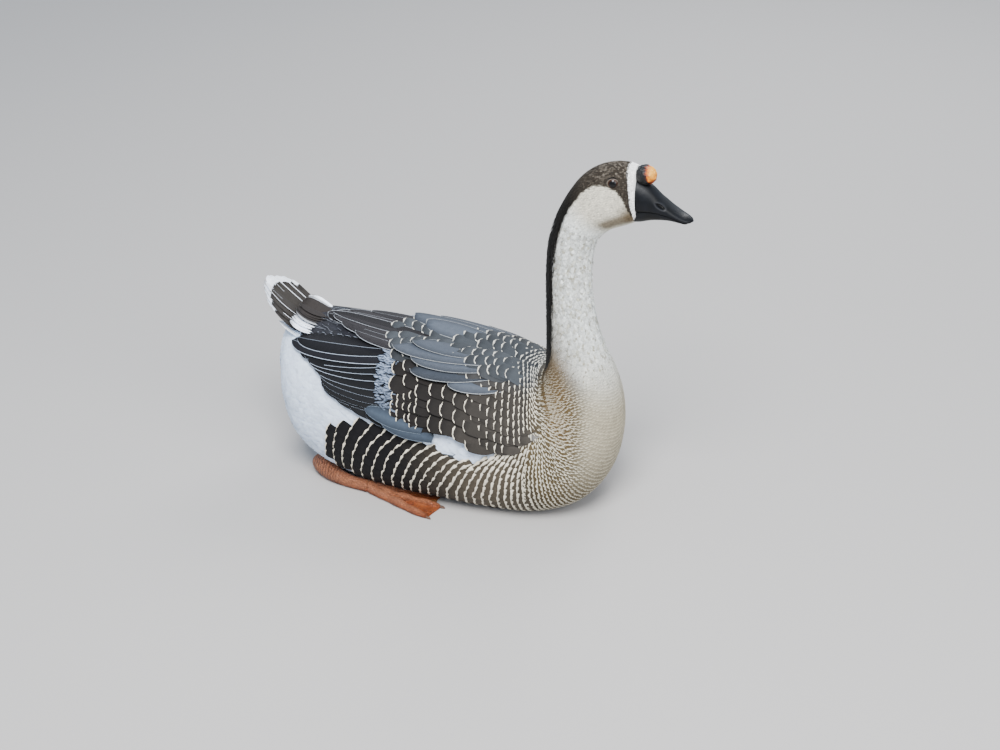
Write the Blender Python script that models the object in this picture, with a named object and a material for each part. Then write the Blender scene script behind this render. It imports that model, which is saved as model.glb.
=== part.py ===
"""A swan goose of the domestic, knobbed form, lying down with its neck up: a still, life-size model.

The bird faces +X, its right side is -Y, and it rests on the floor at z = 0. All lengths are metres.
Run with: blender --background --python part.py
"""

import math
import random

import bmesh
import bpy
import numpy as np
from mathutils import Matrix, Vector

GAP = 0.0003            # air between two pieces that touch
SUNK = 0.0020           # how far a piece starts inside its neighbour before it is cut clear of it
RIGHT, LEFT = -1, 1     # the sign of y on each side of the bird
SIDES = (("right", RIGHT), ("left", LEFT))

# The flesh is one form: rings that run from the rear, along the body, up the neck and over the head to the
# bill. Each ring lies in a plane across the body. It has a point on the back line and one on the belly line,
# as (x, z), half its width, where its widest level lies from back to belly, and how full it is above and
# below that level (2 is an ellipse, and more is boxier).
RINGS = (
    ((-0.2470, 0.1850), (-0.2520, 0.1030), 0.036, 0.50, 2.0, 2.0),   # rear, above the vent
    ((-0.2350, 0.1920), (-0.2440, 0.0640), 0.060, 0.52, 2.0, 2.1),
    ((-0.2110, 0.1960), (-0.2210, 0.0260), 0.082, 0.54, 2.0, 2.2),
    ((-0.1740, 0.1940), (-0.1790, 0.0020), 0.097, 0.54, 2.0, 2.3),   # rump
    ((-0.1270, 0.1890), (-0.1270, -0.0080), 0.107, 0.54, 2.0, 2.4),
    ((-0.0760, 0.1850), (-0.0720, -0.0110), 0.112, 0.54, 2.0, 2.5),
    ((-0.0250, 0.1830), (-0.0180, -0.0120), 0.114, 0.54, 2.0, 2.5),  # middle of the back
    ((0.0200, 0.1800), (0.0340, -0.0120), 0.114, 0.54, 2.0, 2.6),
    ((0.0580, 0.1740), (0.0820, -0.0105), 0.111, 0.54, 2.0, 2.6),
    ((0.0840, 0.1680), (0.1250, -0.0065), 0.105, 0.54, 2.0, 2.5),    # shoulders
    ((0.0960, 0.1660), (0.1630, 0.0090), 0.096, 0.54, 2.0, 2.4),
    ((0.1005, 0.1700), (0.1890, 0.0410), 0.085, 0.54, 2.0, 2.3),     # breast
    ((0.1020, 0.1780), (0.2000, 0.0870), 0.072, 0.52, 2.0, 2.1),
    ((0.1025, 0.1900), (0.2000, 0.1320), 0.058, 0.50, 2.0, 2.0),
    ((0.1020, 0.2040), (0.1915, 0.1690), 0.047, 0.50, 2.0, 2.0),     # foot of the neck
    ((0.1010, 0.2250), (0.1775, 0.2030), 0.037, 0.50, 2.0, 2.0),
    ((0.1000, 0.2560), (0.1640, 0.2430), 0.030, 0.50, 2.0, 2.0),
    ((0.0990, 0.2900), (0.1570, 0.2830), 0.027, 0.50, 2.0, 2.0),     # middle of the neck
    ((0.0990, 0.3220), (0.1555, 0.3190), 0.026, 0.50, 2.0, 2.0),
    ((0.1010, 0.3500), (0.1580, 0.3450), 0.026, 0.50, 2.0, 2.0),
    ((0.1070, 0.3760), (0.1640, 0.3620), 0.026, 0.50, 2.0, 2.0),
    ((0.1160, 0.3990), (0.1720, 0.3710), 0.0265, 0.50, 2.0, 2.0),    # nape and throat
    ((0.1270, 0.4200), (0.1800, 0.3780), 0.0275, 0.52, 2.0, 2.0),
    ((0.1410, 0.4400), (0.1880, 0.3820), 0.0280, 0.54, 2.0, 2.1),
    ((0.1580, 0.4540), (0.1950, 0.3850), 0.0280, 0.56, 2.2, 2.1),
    ((0.1780, 0.4620), (0.2020, 0.3880), 0.0265, 0.56, 2.3, 2.1),    # eyes
    ((0.1960, 0.4640), (0.2080, 0.3910), 0.0245, 0.56, 2.3, 2.1),
    ((0.2085, 0.4620), (0.2130, 0.3940), 0.0215, 0.56, 2.2, 2.1),    # foot of the bill
)
REAR_POLE = Vector((-0.2580, 0, 0.1450))
AROUND = 28                                         # faces round a ring
CUT_NECK, CUT_MIDDLE, CUT_HEAD = 14.0, 17.5, 20.5   # rings at which the torso, neck and head part

# The bill, as (x, z) of its upper and lower edge and its half width at each station from the face to the tip.
UPPER_BILL = (
    ((0.2040, 0.4500), (0.2040, 0.4105), 0.0190),
    ((0.2140, 0.4460), (0.2130, 0.4112), 0.0186),
    ((0.2270, 0.4395), (0.2250, 0.4120), 0.0174),
    ((0.2400, 0.4272), (0.2390, 0.4110), 0.0158),
    ((0.2530, 0.4170), (0.2520, 0.4080), 0.0145),
    ((0.2640, 0.4098), (0.2620, 0.4045), 0.0132),
    ((0.2730, 0.4055), (0.2700, 0.4012), 0.0110),
    ((0.2775, 0.4028), (0.2755, 0.3998), 0.0068),
)
UPPER_BILL_TIP = Vector((0.2795, 0, 0.4008))
LOWER_BILL = (
    ((0.2040, 0.4093), (0.2040, 0.3910), 0.0172),
    ((0.2160, 0.4103), (0.2160, 0.3925), 0.0166),
    ((0.2320, 0.4106), (0.2320, 0.3970), 0.0150),
    ((0.2500, 0.4075), (0.2500, 0.3990), 0.0132),
    ((0.2640, 0.4022), (0.2640, 0.3980), 0.0110),
    ((0.2710, 0.3992), (0.2710, 0.3970), 0.0080),
)
LOWER_BILL_TIP = Vector((0.2745, 0, 0.3980))

NOSTRIL_PLACE, NOSTRIL_RADII = (0.2410, 0.0128, 0.4205), (0.0066, 0.0042, 0.0019)
NOSTRIL_SLOPE = math.radians(28)
NAIL_CENTRE, NAIL_RADII, NAIL_SLOPE = Vector((0.2725, 0, 0.4035)), (0.0072, 0.0058, 0.0026), math.radians(26)

KNOB_CENTRE, KNOB_RADII = Vector((0.2190, 0, 0.4525)), Vector((0.0128, 0.0122, 0.0120))
KNOB_LOBE_PLACE, KNOB_LOBE = (-0.0010, 0.0030, 0.0006), 0.86
KNOB_FOLD_PLACE, KNOB_FOLD = (-0.0005, 0, -0.0075), (0.0125, 0.0128, 0.0040)
KNOB_FOLD_SLOPE = math.radians(38)
EYE_PLACE, EYE_RADIUS, EYE_PROUD = (0.1840, 0.4465), 0.0078, 0.0022
LID_RADIUS, LID_THICK = 0.0072, 0.0014

# The core of each folded wing lies on the body between two angles round the rings. Front to back: ring, upper
# edge, lower edge.
WING_EDGES = (
    (9.9, 12.0, 58.0),
    (9.0, 7.0, 82.0),
    (8.0, 6.0, 80.0),
    (7.0, 6.0, 73.0),
    (6.0, 6.0, 71.0),
    (5.2, 7.0, 69.0),
    (4.5, 10.0, 63.0),
)
WING_THICK, WING_EDGE_THICK = 0.0070, 0.0016

# Feathers of a wing, in tiers. Each tier runs from its top feather to its lowest one, with (ring, angle) of
# the first and the last root and of the first and the last tip, how many there are, their half width, and how
# high the root and the tip lie. They are laid from the lowest tier to the one on top.
WING_TIERS = {
    "flight": ((5.5, 15.0), (5.7, 67.0), (1.50, 26.0), (4.05, 61.0), 8, 0.0130, 0.0030, 0.0075),
    "greater_coverts": ((6.6, 17.0), (6.9, 70.0), (4.75, 20.0), (5.15, 68.0), 6, 0.0135, 0.0042, 0.0098),
    "median_coverts": ((7.5, 22.0), (7.7, 72.0), (5.85, 23.0), (6.05, 71.0), 5, 0.0140, 0.0044, 0.0106),
    "lesser_coverts": ((8.5, 20.0), (8.7, 74.0), (6.85, 20.0), (7.05, 73.0), 5, 0.0140, 0.0040, 0.0108),
    "shoulder": ((9.6, 18.0), (9.5, 72.0), (7.95, 16.0), (8.15, 76.0), 5, 0.0145, 0.0030, 0.0100),
    "scapulars": ((7.3, 9.5), (7.8, 17.0), (4.30, 12.5), (5.30, 20.0), 3, 0.0135, 0.0050, 0.0128),
}
VANE_THICK, VANE_EDGE_THICK = 0.0011, 0.0005
VANE_SHAPE = ((0.0, 0.60), (0.34, 0.94), (0.68, 1.0), (0.91, 0.72))   # share of length, share of half width
VANE_ROLL = 0.15        # each vane's lower side stands out by this share, so that it lies over the next
VANE_VARIES = 0.6       # degrees

# The tail: a core at the root, and a fan of long feathers with two tiers of coverts, all as (x, y, z) on the
# right.
TAIL_CORE = (
    ((-0.2000, 0.1780), 0.036, 0.0150),
    ((-0.2180, 0.1900), 0.037, 0.0110),
    ((-0.2340, 0.2010), 0.034, 0.0050),
)
# Each tier: root and tip of the middle feather, root and tip of the outer one, feathers on a side.
TAIL_TIERS = (
    ((-0.2060, 0.0030, 0.1830), (-0.2825, 0.0040, 0.2385),
     (-0.2100, 0.0330, 0.1850), (-0.2600, 0.0350, 0.2250), 6),
    ((-0.2000, 0.0060, 0.1930), (-0.2450, 0.0080, 0.2190),
     (-0.2050, 0.0290, 0.1900), (-0.2400, 0.0340, 0.2150), 3),
    ((-0.2080, 0.0060, 0.1720), (-0.2520, 0.0080, 0.2020),
     (-0.2120, 0.0290, 0.1740), (-0.2480, 0.0340, 0.2020), 3),
)
TAIL_HALF, TAIL_SAG, TAIL_FAN = 0.0100, 0.05, 1.6    # half width, share of length, fall of the outer tips
TAIL_ROLL = 0.20

# The legs are folded: each shank lies on the floor from the hock behind to the foot in front. Right side,
# (x, y).
SHANK = (
    ((-0.1970, -0.0500), 0.0085),
    ((-0.1910, -0.0570), 0.0130),
    ((-0.1790, -0.0690), 0.0140),    # hock
    ((-0.1625, -0.0800), 0.0112),
    ((-0.1400, -0.0870), 0.0088),
    ((-0.1180, -0.0900), 0.0086),
    ((-0.1080, -0.0915), 0.0090),    # where the toes start
)
TOES = (    # each toe from the foot's root to its claw: (x, y) and half thickness
    (((-0.1100, -0.0920), 0.0080), ((-0.0900, -0.1010), 0.0062), ((-0.0620, -0.1130), 0.0056),
     ((-0.0350, -0.1240), 0.0048), ((-0.0170, -0.1290), 0.0034)),
    (((-0.1100, -0.0900), 0.0080), ((-0.0860, -0.0950), 0.0062), ((-0.0580, -0.0990), 0.0056),
     ((-0.0280, -0.1010), 0.0048), ((-0.0080, -0.1010), 0.0034)),
    (((-0.1100, -0.0880), 0.0080), ((-0.0840, -0.0870), 0.0060), ((-0.0600, -0.0830), 0.0052),
     ((-0.0340, -0.0780), 0.0044), ((-0.0160, -0.0740), 0.0032)),
)
WEB_THICK = 0.0022
LYING_HEIGHT, LYING_FLAT = 0.92, 0.10     # shares of a lying tube's half thickness: height, flattening
CLAW_LONG, CLAW_RADIUS = 0.0085, 0.0026


def smooth_row(rows, at):
    """The values between rows of numbers at a fractional row, on a smooth curve through them."""
    rows = np.asarray(rows, float)
    i = int(np.clip(math.floor(at), 0, len(rows) - 2))
    t = at - i
    before, after = rows[max(i - 1, 0)], rows[min(i + 2, len(rows) - 1)]
    a, b = rows[i], rows[i + 1]
    m0, m1 = (b - before) / (2 if i > 0 else 1), (after - a) / (2 if i + 2 < len(rows) else 1)
    leave, arrive = 2 * t**3 - 3 * t**2 + 1, 3 * t**2 - 2 * t**3
    return leave * a + (t**3 - 2 * t**2 + t) * m0 + arrive * b + (t**3 - t**2) * m1


RING_ROWS = [(*back, *belly, *rest) for back, belly, *rest in RINGS]


def ring_point(at, angle):
    """The flesh at a fractional ring. The angle is 0 on the back, 90 at the right side, 180 under the belly,
    and negative on the left."""
    xb, zb, xv, zv, half, widest, above, below = smooth_row(RING_ROWS, at)
    xc, zc = xb + (xv - xb) * widest, zb + (zv - zb) * widest
    turn = math.radians(abs(angle))
    upper = turn <= math.pi / 2
    full = above if upper else below
    rise, out = abs(math.cos(turn)) ** (2 / full), abs(math.sin(turn)) ** (2 / full)
    xe, ze = (xb, zb) if upper else (xv, zv)
    side = RIGHT if angle >= 0 else LEFT
    return Vector((xc + (xe - xc) * rise, side * half * out, max(zc + (ze - zc) * rise, 0.0)))


def ring_normal(at, angle):
    """The outward direction there."""
    along = ring_point(min(at + 0.05, len(RINGS) - 1), angle) - ring_point(max(at - 0.05, 0), angle)
    across = ring_point(at, angle + 1) - ring_point(at, angle - 1)
    return across.cross(along).normalized()


def flesh_at(x, z, side, first, last):
    """The ring and angle of the flesh seen at a height and a place along the bird, between two rings."""
    low, high = [first, 15.0], [last, 140.0]
    for _ in range(5):
        ats, angles = np.linspace(low[0], high[0], 17), np.linspace(low[1], high[1], 17)
        far = {(at, angle): ring_point(at, angle) - Vector((x, 0, z)) for at in ats for angle in angles}
        found = min(far, key=lambda spot: far[spot].x ** 2 + far[spot].z ** 2)
        reach = [(high[0] - low[0]) / 8, (high[1] - low[1]) / 8]
        low = [max(first, found[0] - reach[0]), max(5.0, found[1] - reach[1])]
        high = [min(last, found[0] + reach[0]), min(175.0, found[1] + reach[1])]
    return found[0], found[1] * (1 if side == RIGHT else -1)


def add_object(name, mesh, material=None):
    made = bpy.data.objects.new(name, mesh)
    bpy.data.collections["goose"].objects.link(made)
    if material:
        mesh.materials.clear()
        mesh.materials.append(bpy.data.materials[material])
    return made


def finished(work, name="form"):
    """A bmesh made into a mesh, with its faces turned out."""
    bmesh.ops.remove_doubles(work, verts=work.verts, dist=1e-6)
    bmesh.ops.recalc_face_normals(work, faces=work.faces)
    if work.calc_volume(signed=True) < 0:
        bmesh.ops.reverse_faces(work, faces=work.faces)
    mesh = bpy.data.meshes.new(name)
    work.to_mesh(mesh)
    work.free()
    return mesh


def loft(rings, first_pole=None, last_pole=None):
    """A closed skin over rings of like count. Each end closes on a pole, or on the ring's middle."""
    count = len(rings[0])
    work = bmesh.new()
    rows = [[work.verts.new(p) for p in ring] for ring in rings]
    for near, far in zip(rows, rows[1:]):
        for j in range(count):
            k = (j + 1) % count
            work.faces.new((near[j], near[k], far[k]))
            work.faces.new((near[j], far[k], far[j]))
    for pole, row in ((first_pole, rows[0]), (last_pole, rows[-1])):
        middle = sum((v.co for v in row), Vector()) / count
        tip = work.verts.new(pole if pole is not None else middle)
        for j in range(count):
            work.faces.new((row[j], row[(j + 1) % count], tip))
    return finished(work)


def mirrored(points, side):
    return [Vector((p[0], p[1] * (1 if side == RIGHT else -1), p[2])) for p in points]


def applied(thing):
    """The object with its modifiers applied, keeping only its largest closed surface."""
    graph = bpy.context.evaluated_depsgraph_get()
    mesh = bpy.data.meshes.new_from_object(thing.evaluated_get(graph))
    thing.modifiers.clear()
    work = bmesh.new()
    work.from_mesh(mesh)
    bmesh.ops.triangulate(work, faces=work.faces)
    left, shells = set(work.faces), []
    while left:
        shell, edge = set(), [left.pop()]
        while edge:
            face = edge.pop()
            shell.add(face)
            near = {f for e in face.edges for f in e.link_faces} & left
            left -= near
            edge += near
        shells.append(shell)
    largest = max(shells, key=lambda shell: abs(sum(
        f.verts[0].co.dot(f.verts[1].co.cross(f.verts[2].co)) for f in shell)))
    bmesh.ops.delete(work, geom=[f for f in work.faces if f not in largest], context="FACES")
    bmesh.ops.delete(work, geom=[v for v in work.verts if not v.link_faces], context="VERTS")
    work.to_mesh(mesh)
    work.free()
    old = thing.data
    thing.data = mesh
    bpy.data.meshes.remove(old)
    return thing


def fuse(base, extras, solver="EXACT"):
    """The extra meshes joined to the base by one Boolean union, and then removed."""
    group = bpy.data.collections.new("to_join")
    bpy.context.scene.collection.children.link(group)
    made = []
    for mesh in extras:
        thing = bpy.data.objects.new("extra", mesh)
        group.objects.link(thing)
        made.append(thing)
    join = base.modifiers.new("join", "BOOLEAN")
    join.operation, join.operand_type, join.collection, join.solver = "UNION", "COLLECTION", group, solver
    applied(base)
    for thing in made:
        bpy.data.objects.remove(thing)
    bpy.data.collections.remove(group)
    return base


def grown(thing, distance):
    """A copy of an object's mesh with each point moved out along its normal."""
    work = bmesh.new()
    work.from_mesh(thing.data)
    work.normal_update()
    for vertex, push in [(v, v.normal * distance) for v in work.verts]:
        vertex.co += push
    mesh = bpy.data.meshes.new("grown")
    work.to_mesh(mesh)
    work.free()
    return mesh


def cut_clear(thing, *neighbours, gap=GAP, solver="EXACT"):
    """The object with its neighbours cut out of it, and the gap left round them."""
    for neighbour in neighbours:
        cutter = bpy.data.objects.new("cutter", grown(neighbour, gap))
        bpy.data.collections["cutters"].objects.link(cutter)
        cut = thing.modifiers.new("clear", "BOOLEAN")
        cut.operation, cut.object, cut.solver = "DIFFERENCE", cutter, solver
        applied(thing)
        bpy.data.objects.remove(cutter)
    return thing


def ball(centre, radii, turn=None, across=16, up=10):
    """A ball or an egg. The turn is a rotation matrix."""
    work = bmesh.new()
    bmesh.ops.create_uvsphere(work, u_segments=across, v_segments=up, radius=1.0)
    turned = turn.to_4x4() if turn else Matrix()
    place = Matrix.Translation(centre) @ turned @ Matrix.Diagonal((*radii, 1.0))
    bmesh.ops.transform(work, matrix=place, verts=work.verts)
    return finished(work)


def make_flesh():
    """The torso, the neck in two lengths, and the head, which meet ring to ring."""
    angles = [180 - 360 * j / AROUND for j in range(AROUND)]
    pieces = (
        ("torso", 0.0, CUT_NECK, 27, "breast_feathers"),
        ("neck_lower", CUT_NECK, CUT_MIDDLE, 7, "neck_feathers"),
        ("neck_upper", CUT_MIDDLE, CUT_HEAD, 6, "neck_feathers"),
        ("head", CUT_HEAD, len(RINGS) - 1.0, 13, "head_feathers"),
    )
    made = {}
    for name, first, last, steps, material in pieces:
        rings = [[ring_point(at, angle) for angle in angles] for at in np.linspace(first, last, steps)]
        if name != "torso":
            here, there = (sum(ring, Vector()) / AROUND for ring in rings[:2])
            rings[0] = [p + (there - here).normalized() * GAP for p in rings[0]]
        made[name] = add_object(name, loft(rings, REAR_POLE if name == "torso" else None), material)
    return made


def bill_rings(stations, arch):
    """Rings of the bill: a dome over a flat floor, or the same upside down."""
    rings = []
    for upper, lower, half in stations:
        top, floor = (Vector((p[0], 0, p[1])) for p in ((upper, lower) if arch else (lower, upper)))
        ring = []
        for j in range(12):
            turn = math.pi * j / 11
            spot = floor.lerp(top, math.sin(turn) ** 0.75)
            ring.append(spot + Vector((0, -half * math.cos(turn), 0)))
        ring += [floor + Vector((0, half * y, 0)) for y in (0.5, 0.0, -0.5)]
        rings.append(ring)
    return rings


def cut_away(thing, mesh):
    """The object with a shape taken out of it."""
    cutter = bpy.data.objects.new("cutter", mesh)
    bpy.data.collections["cutters"].objects.link(cutter)
    cut = thing.modifiers.new("cut", "BOOLEAN")
    cut.operation, cut.object = "DIFFERENCE", cutter
    applied(thing)
    bpy.data.objects.remove(cutter)


def make_bill(head):
    """The two halves of the bill, parted by the line of the mouth, with nostrils and a nail at the tip."""
    shape = loft(bill_rings(UPPER_BILL, True), last_pole=UPPER_BILL_TIP)
    upper = add_object("bill_upper", shape, "black_horn")
    fuse(upper, [ball(NAIL_CENTRE, NAIL_RADII, Matrix.Rotation(NAIL_SLOPE, 3, "Y"), 12, 8)])
    for _, side in SIDES:
        spot = Vector((NOSTRIL_PLACE[0], side * NOSTRIL_PLACE[1], NOSTRIL_PLACE[2]))
        cut_away(upper, ball(spot, NOSTRIL_RADII, Matrix.Rotation(NOSTRIL_SLOPE, 3, "Y"), 12, 8))
    shape = loft(bill_rings(LOWER_BILL, False), last_pole=LOWER_BILL_TIP)
    lower = add_object("bill_lower", shape, "black_horn")
    for piece in (upper, lower):
        cut_clear(piece, head)
    return upper


def make_knob(head, upper):
    """The knob on the forehead: two lobes with a shallow furrow between, on a fold round its foot."""
    knob = add_object("knob", ball(KNOB_CENTRE, KNOB_RADII, across=20, up=14), "orange_knob")
    lobes = [ball(KNOB_CENTRE + Vector((*KNOB_LOBE_PLACE[:1], side * KNOB_LOBE_PLACE[1], KNOB_LOBE_PLACE[2])),
                  KNOB_RADII * KNOB_LOBE, across=16, up=10) for _, side in SIDES]
    slope = Matrix.Rotation(KNOB_FOLD_SLOPE, 3, "Y")
    fold = ball(KNOB_CENTRE + Vector(KNOB_FOLD_PLACE), KNOB_FOLD, slope, 20, 8)
    fuse(knob, [*lobes, fold])
    return cut_clear(knob, head, upper)


def make_eyes(head):
    """The eyeballs, each in a cup of the head with a ring of lid round it."""
    first = CUT_HEAD + 1
    for word, side in SIDES:
        at, angle = flesh_at(*EYE_PLACE, side, first, len(RINGS) - 1.0)
        surface, out = ring_point(at, angle), ring_normal(at, angle)
        shape = ball(surface + out * (EYE_PROUD - EYE_RADIUS), [EYE_RADIUS] * 3)
        eye = add_object("eye_" + word, shape, "eye")
        turn = out.to_track_quat("Z", "Y").to_matrix()
        rings = []
        for i in range(14):
            spin = 2 * math.pi * i / 14
            arm = Vector((math.cos(spin), math.sin(spin), 0))
            ring = []
            for k in range(8):
                t = 2 * math.pi * k / 8
                lid = arm * (LID_RADIUS + LID_THICK * math.cos(t)) + Vector((0, 0, LID_THICK * math.sin(t)))
                ring.append(surface + turn @ lid)
            rings.append(ring)
        work = bmesh.new()
        rows = [[work.verts.new(p) for p in ring] for ring in rings]
        for i, row in enumerate(rows):
            after = rows[(i + 1) % len(rows)]
            for k in range(8):
                work.faces.new((row[k], row[(k + 1) % 8], after[(k + 1) % 8], after[k]))
        fuse(head, [finished(work)])
        cut_clear(head, eye)


def vane(centres, normals, half, roll, side):
    """One feather, closed and thin. Its lower edge stands out from the body by the roll, its tip is round,
    and both of its faces are split into triangles alike."""
    work = bmesh.new()
    rows = []
    for i, (share, wide) in enumerate(VANE_SHAPE):
        centre, out = centres[i], normals[i]
        along = (centres[i + 1] - centre).normalized()
        down = along.cross(out).normalized() * side
        over, edge = VANE_THICK / 2, VANE_EDGE_THICK / 2
        sides = [down * (half * wide * sign) + out * (roll * half * wide * sign) for sign in (-1, 1)]
        upper = [centre + sides[0] + out * edge, centre + out * over, centre + sides[1] + out * edge]
        lower = [p - out * 2 * h for p, h in zip(upper, (edge, over, edge))]
        rows.append([work.verts.new(p) for p in upper + lower])
    tip = [work.verts.new(centres[-1] + normals[-1] * h) for h in (VANE_EDGE_THICK / 2, -VANE_EDGE_THICK / 2)]
    for near, far in zip(rows, rows[1:]):
        for face in (0, 3):
            a, b, c, d, e, f = (*near[face:face + 3], *far[face:face + 3])
            for corners in ((a, b, e), (a, e, d), (b, c, e), (c, f, e)):
                work.faces.new(corners)
        for edge in (0, 2):
            work.faces.new((near[edge], near[edge + 3], far[edge + 3]))
            work.faces.new((near[edge], far[edge + 3], far[edge]))
    last, first = rows[-1], rows[0]
    for face, point in ((0, tip[0]), (3, tip[1])):
        work.faces.new((last[face], last[face + 1], point))
        work.faces.new((last[face + 1], last[face + 2], point))
    for edge in (0, 2):
        work.faces.new((last[edge], last[edge + 3], tip[1]))
        work.faces.new((last[edge], tip[1], tip[0]))
    for edge in (0, 1):
        work.faces.new((first[edge], first[edge + 1], first[edge + 4], first[edge + 3]))
    bmesh.ops.triangulate(work, faces=[f for f in work.faces if len(f.verts) > 3])
    return finished(work)


def wing_height(u):
    """How thick the core of a wing is along its length, from 0 in front to 1 behind."""
    return math.sin(math.pi * min(1.0, 0.14 + 0.72 * u)) ** 0.5


def wing_core(side):
    steps, across = 12, 7
    rings = []
    for i in range(steps + 1):
        at, top, low = smooth_row(WING_EDGES, i / steps * (len(WING_EDGES) - 1))
        over, under = [], []
        for j in range(across + 1):
            v = j / across
            angle = -side * (top + (low - top) * v)
            spot, out = ring_point(at, angle), ring_normal(at, angle)
            bulge = wing_height(i / steps) * math.sin(math.pi * v) ** 0.6
            over.append(spot + out * (WING_EDGE_THICK + (WING_THICK - WING_EDGE_THICK) * bulge))
            under.append(spot - out * SUNK)
        rings.append(over + under[::-1])
    return loft(rings)


def wing_vanes(side):
    """All the feathers of a wing, tier by tier, each a little out of line with the next as on a real wing."""
    varies = random.Random(4)
    vanes = []
    for first_root, last_root, first_tip, last_tip, count, half, low, high in WING_TIERS.values():
        for k in range(count):
            share = k / (count - 1)
            root = [a + (b - a) * share for a, b in zip(first_root, last_root)]
            tip = [a + (b - a) * share for a, b in zip(first_tip, last_tip)]
            tip[0] += varies.uniform(-0.06, 0.06)
            tip[1] += varies.uniform(-VANE_VARIES, VANE_VARIES)
            centres, normals = [], []
            for t in [share for share, _ in VANE_SHAPE] + [1.0]:
                at = root[0] + (tip[0] - root[0]) * t
                angle = -side * (root[1] + (tip[1] - root[1]) * t)
                out = ring_normal(at, angle)
                centres.append(ring_point(at, angle) + out * (low + (high - low) * t))
                normals.append(out)
            vanes.append(vane(centres, normals, half, VANE_ROLL, side))
    return vanes


def make_wing(word, side, torso):
    """One folded wing: a core on the side of the back, and its feathers in tiers, out to the longest tips."""
    wing = add_object("wing_" + word, wing_core(side), "wing_feathers")
    fuse(wing, wing_vanes(side))
    return cut_clear(wing, torso)


def tail_vanes():
    vanes = []
    for middle_root, middle_tip, outer_root, outer_tip, count in TAIL_TIERS:
        for side in (RIGHT, LEFT):
            for k in range(count):
                share = k / (count - 1)
                root = Vector(middle_root).lerp(Vector(outer_root), share)
                tip = Vector(middle_tip).lerp(Vector(outer_tip), share ** TAIL_FAN)
                tip.y = middle_tip[1] + (outer_tip[1] - middle_tip[1]) * share
                root.y, tip.y = root.y * side, tip.y * side
                along = (tip - root).normalized()
                out = Vector((0, 1, 0)).cross(along).normalized()
                sag = (tip - root).length * TAIL_SAG
                centres, normals = [], []
                for t in [share for share, _ in VANE_SHAPE] + [1.0]:
                    centres.append(root.lerp(tip, t) - out * sag * math.sin(math.pi * t))
                    normals.append(out)
                vanes.append(vane(centres, normals, TAIL_HALF, TAIL_ROLL, side))
    return vanes


def make_tail(*neighbours):
    rings = []
    for (x, z), half, deep in TAIL_CORE:
        rings.append([
            Vector((x, half * math.cos(t), z + deep * math.sin(t)))
            for t in (2 * math.pi * k / 20 for k in range(20))
        ])
    tail = add_object("tail", loft(rings), "tail_feathers")
    fuse(tail, tail_vanes())
    return cut_clear(tail, *neighbours)


def lying_tube(stations, side, around=12):
    """A rounded tube that lies on the floor, along (x, y) stations with a half thickness at each."""
    rings = []
    points = [Vector((x, y, 0)) for (x, y), _ in stations]
    for i, ((x, y), thick) in enumerate(stations):
        along = (points[min(i + 1, len(points) - 1)] - points[max(i - 1, 0)]).normalized()
        across = Vector((-along.y, along.x, 0))
        ring = []
        for k in range(around):
            t = 2 * math.pi * k / around
            height = thick * LYING_HEIGHT * (1 + math.sin(t)) - thick * LYING_FLAT
            spot = points[i] + across * thick * math.cos(t)
            ring.append(Vector((spot.x, spot.y, max(height, 0.0))))
        rings.append(mirrored(ring, side))
    return loft(rings)


def make_leg(word, side, torso):
    """A shank and a webbed foot with three toes and their claws."""
    shank = add_object("shank_" + word, lying_tube(SHANK, side), "orange_skin")
    cut_clear(shank, torso)
    foot = add_object("foot_" + word, lying_tube(TOES[0], side, 10), "orange_skin")
    extras = [lying_tube(toe, side, 10) for toe in TOES[1:]]
    for toe in TOES:
        (end, thick), (before, _) = toe[-1], toe[-2]
        tip, back = Vector((*end, thick)), Vector((*before, thick))
        along = (tip - back).normalized()
        claw = [
            ((tip - along * 0.003)[:2], CLAW_RADIUS),
            ((tip + along * CLAW_LONG * 0.4)[:2], CLAW_RADIUS * 0.8),
            ((tip + along * CLAW_LONG)[:2], CLAW_RADIUS * 0.3),
        ]
        extras.append(lying_tube(claw, side, 8))
    for one, other in zip(TOES, TOES[1:]):
        rim = [Vector((*spot, 0)) for spot, _ in one] + [Vector((*spot, 0)) for spot, _ in other][::-1]
        scallop = (rim[len(one) - 1] + rim[len(one)]) / 2 - Vector((0.006, 0, 0))
        rim.insert(len(one), scallop)
        work = bmesh.new()
        low = [work.verts.new(p) for p in mirrored(rim, side)]
        high = [work.verts.new(p + Vector((0, 0, WEB_THICK))) for p in mirrored(rim, side)]
        work.faces.new(low)
        work.faces.new(high)
        for j in range(len(rim)):
            k = (j + 1) % len(rim)
            work.faces.new((low[j], low[k], high[k], high[j]))
        bmesh.ops.triangulate(work, faces=work.faces)
        extras.append(finished(work))
    fuse(foot, extras)
    cut_clear(foot, shank, torso)


def clear_scene():
    for old in list(bpy.data.objects):
        bpy.data.objects.remove(old)
    for name in ("goose", "cutters"):
        group = bpy.data.collections.new(name)
        bpy.context.scene.collection.children.link(group)


def make_materials():
    finishes = {    # base colour and roughness
        "breast_feathers": ((0.55, 0.50, 0.42), 0.85),
        "neck_feathers": ((0.80, 0.77, 0.70), 0.85),
        "head_feathers": ((0.35, 0.29, 0.24), 0.85),
        "wing_feathers": ((0.20, 0.19, 0.19), 0.75),
        "tail_feathers": ((0.45, 0.45, 0.46), 0.75),
        "black_horn": ((0.015, 0.015, 0.018), 0.35),
        "orange_knob": ((0.75, 0.32, 0.08), 0.45),
        "orange_skin": ((0.75, 0.22, 0.05), 0.55),
        "eye": ((0.02, 0.01, 0.006), 0.05),
    }
    for name, (colour, rough) in finishes.items():
        material = bpy.data.materials.new(name)
        material.use_nodes = True
        shader = material.node_tree.nodes["Principled BSDF"]
        shader.inputs["Base Color"].default_value = (*colour, 1)
        shader.inputs["Roughness"].default_value = rough
        shader.inputs["Metallic"].default_value = 0.0


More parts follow.
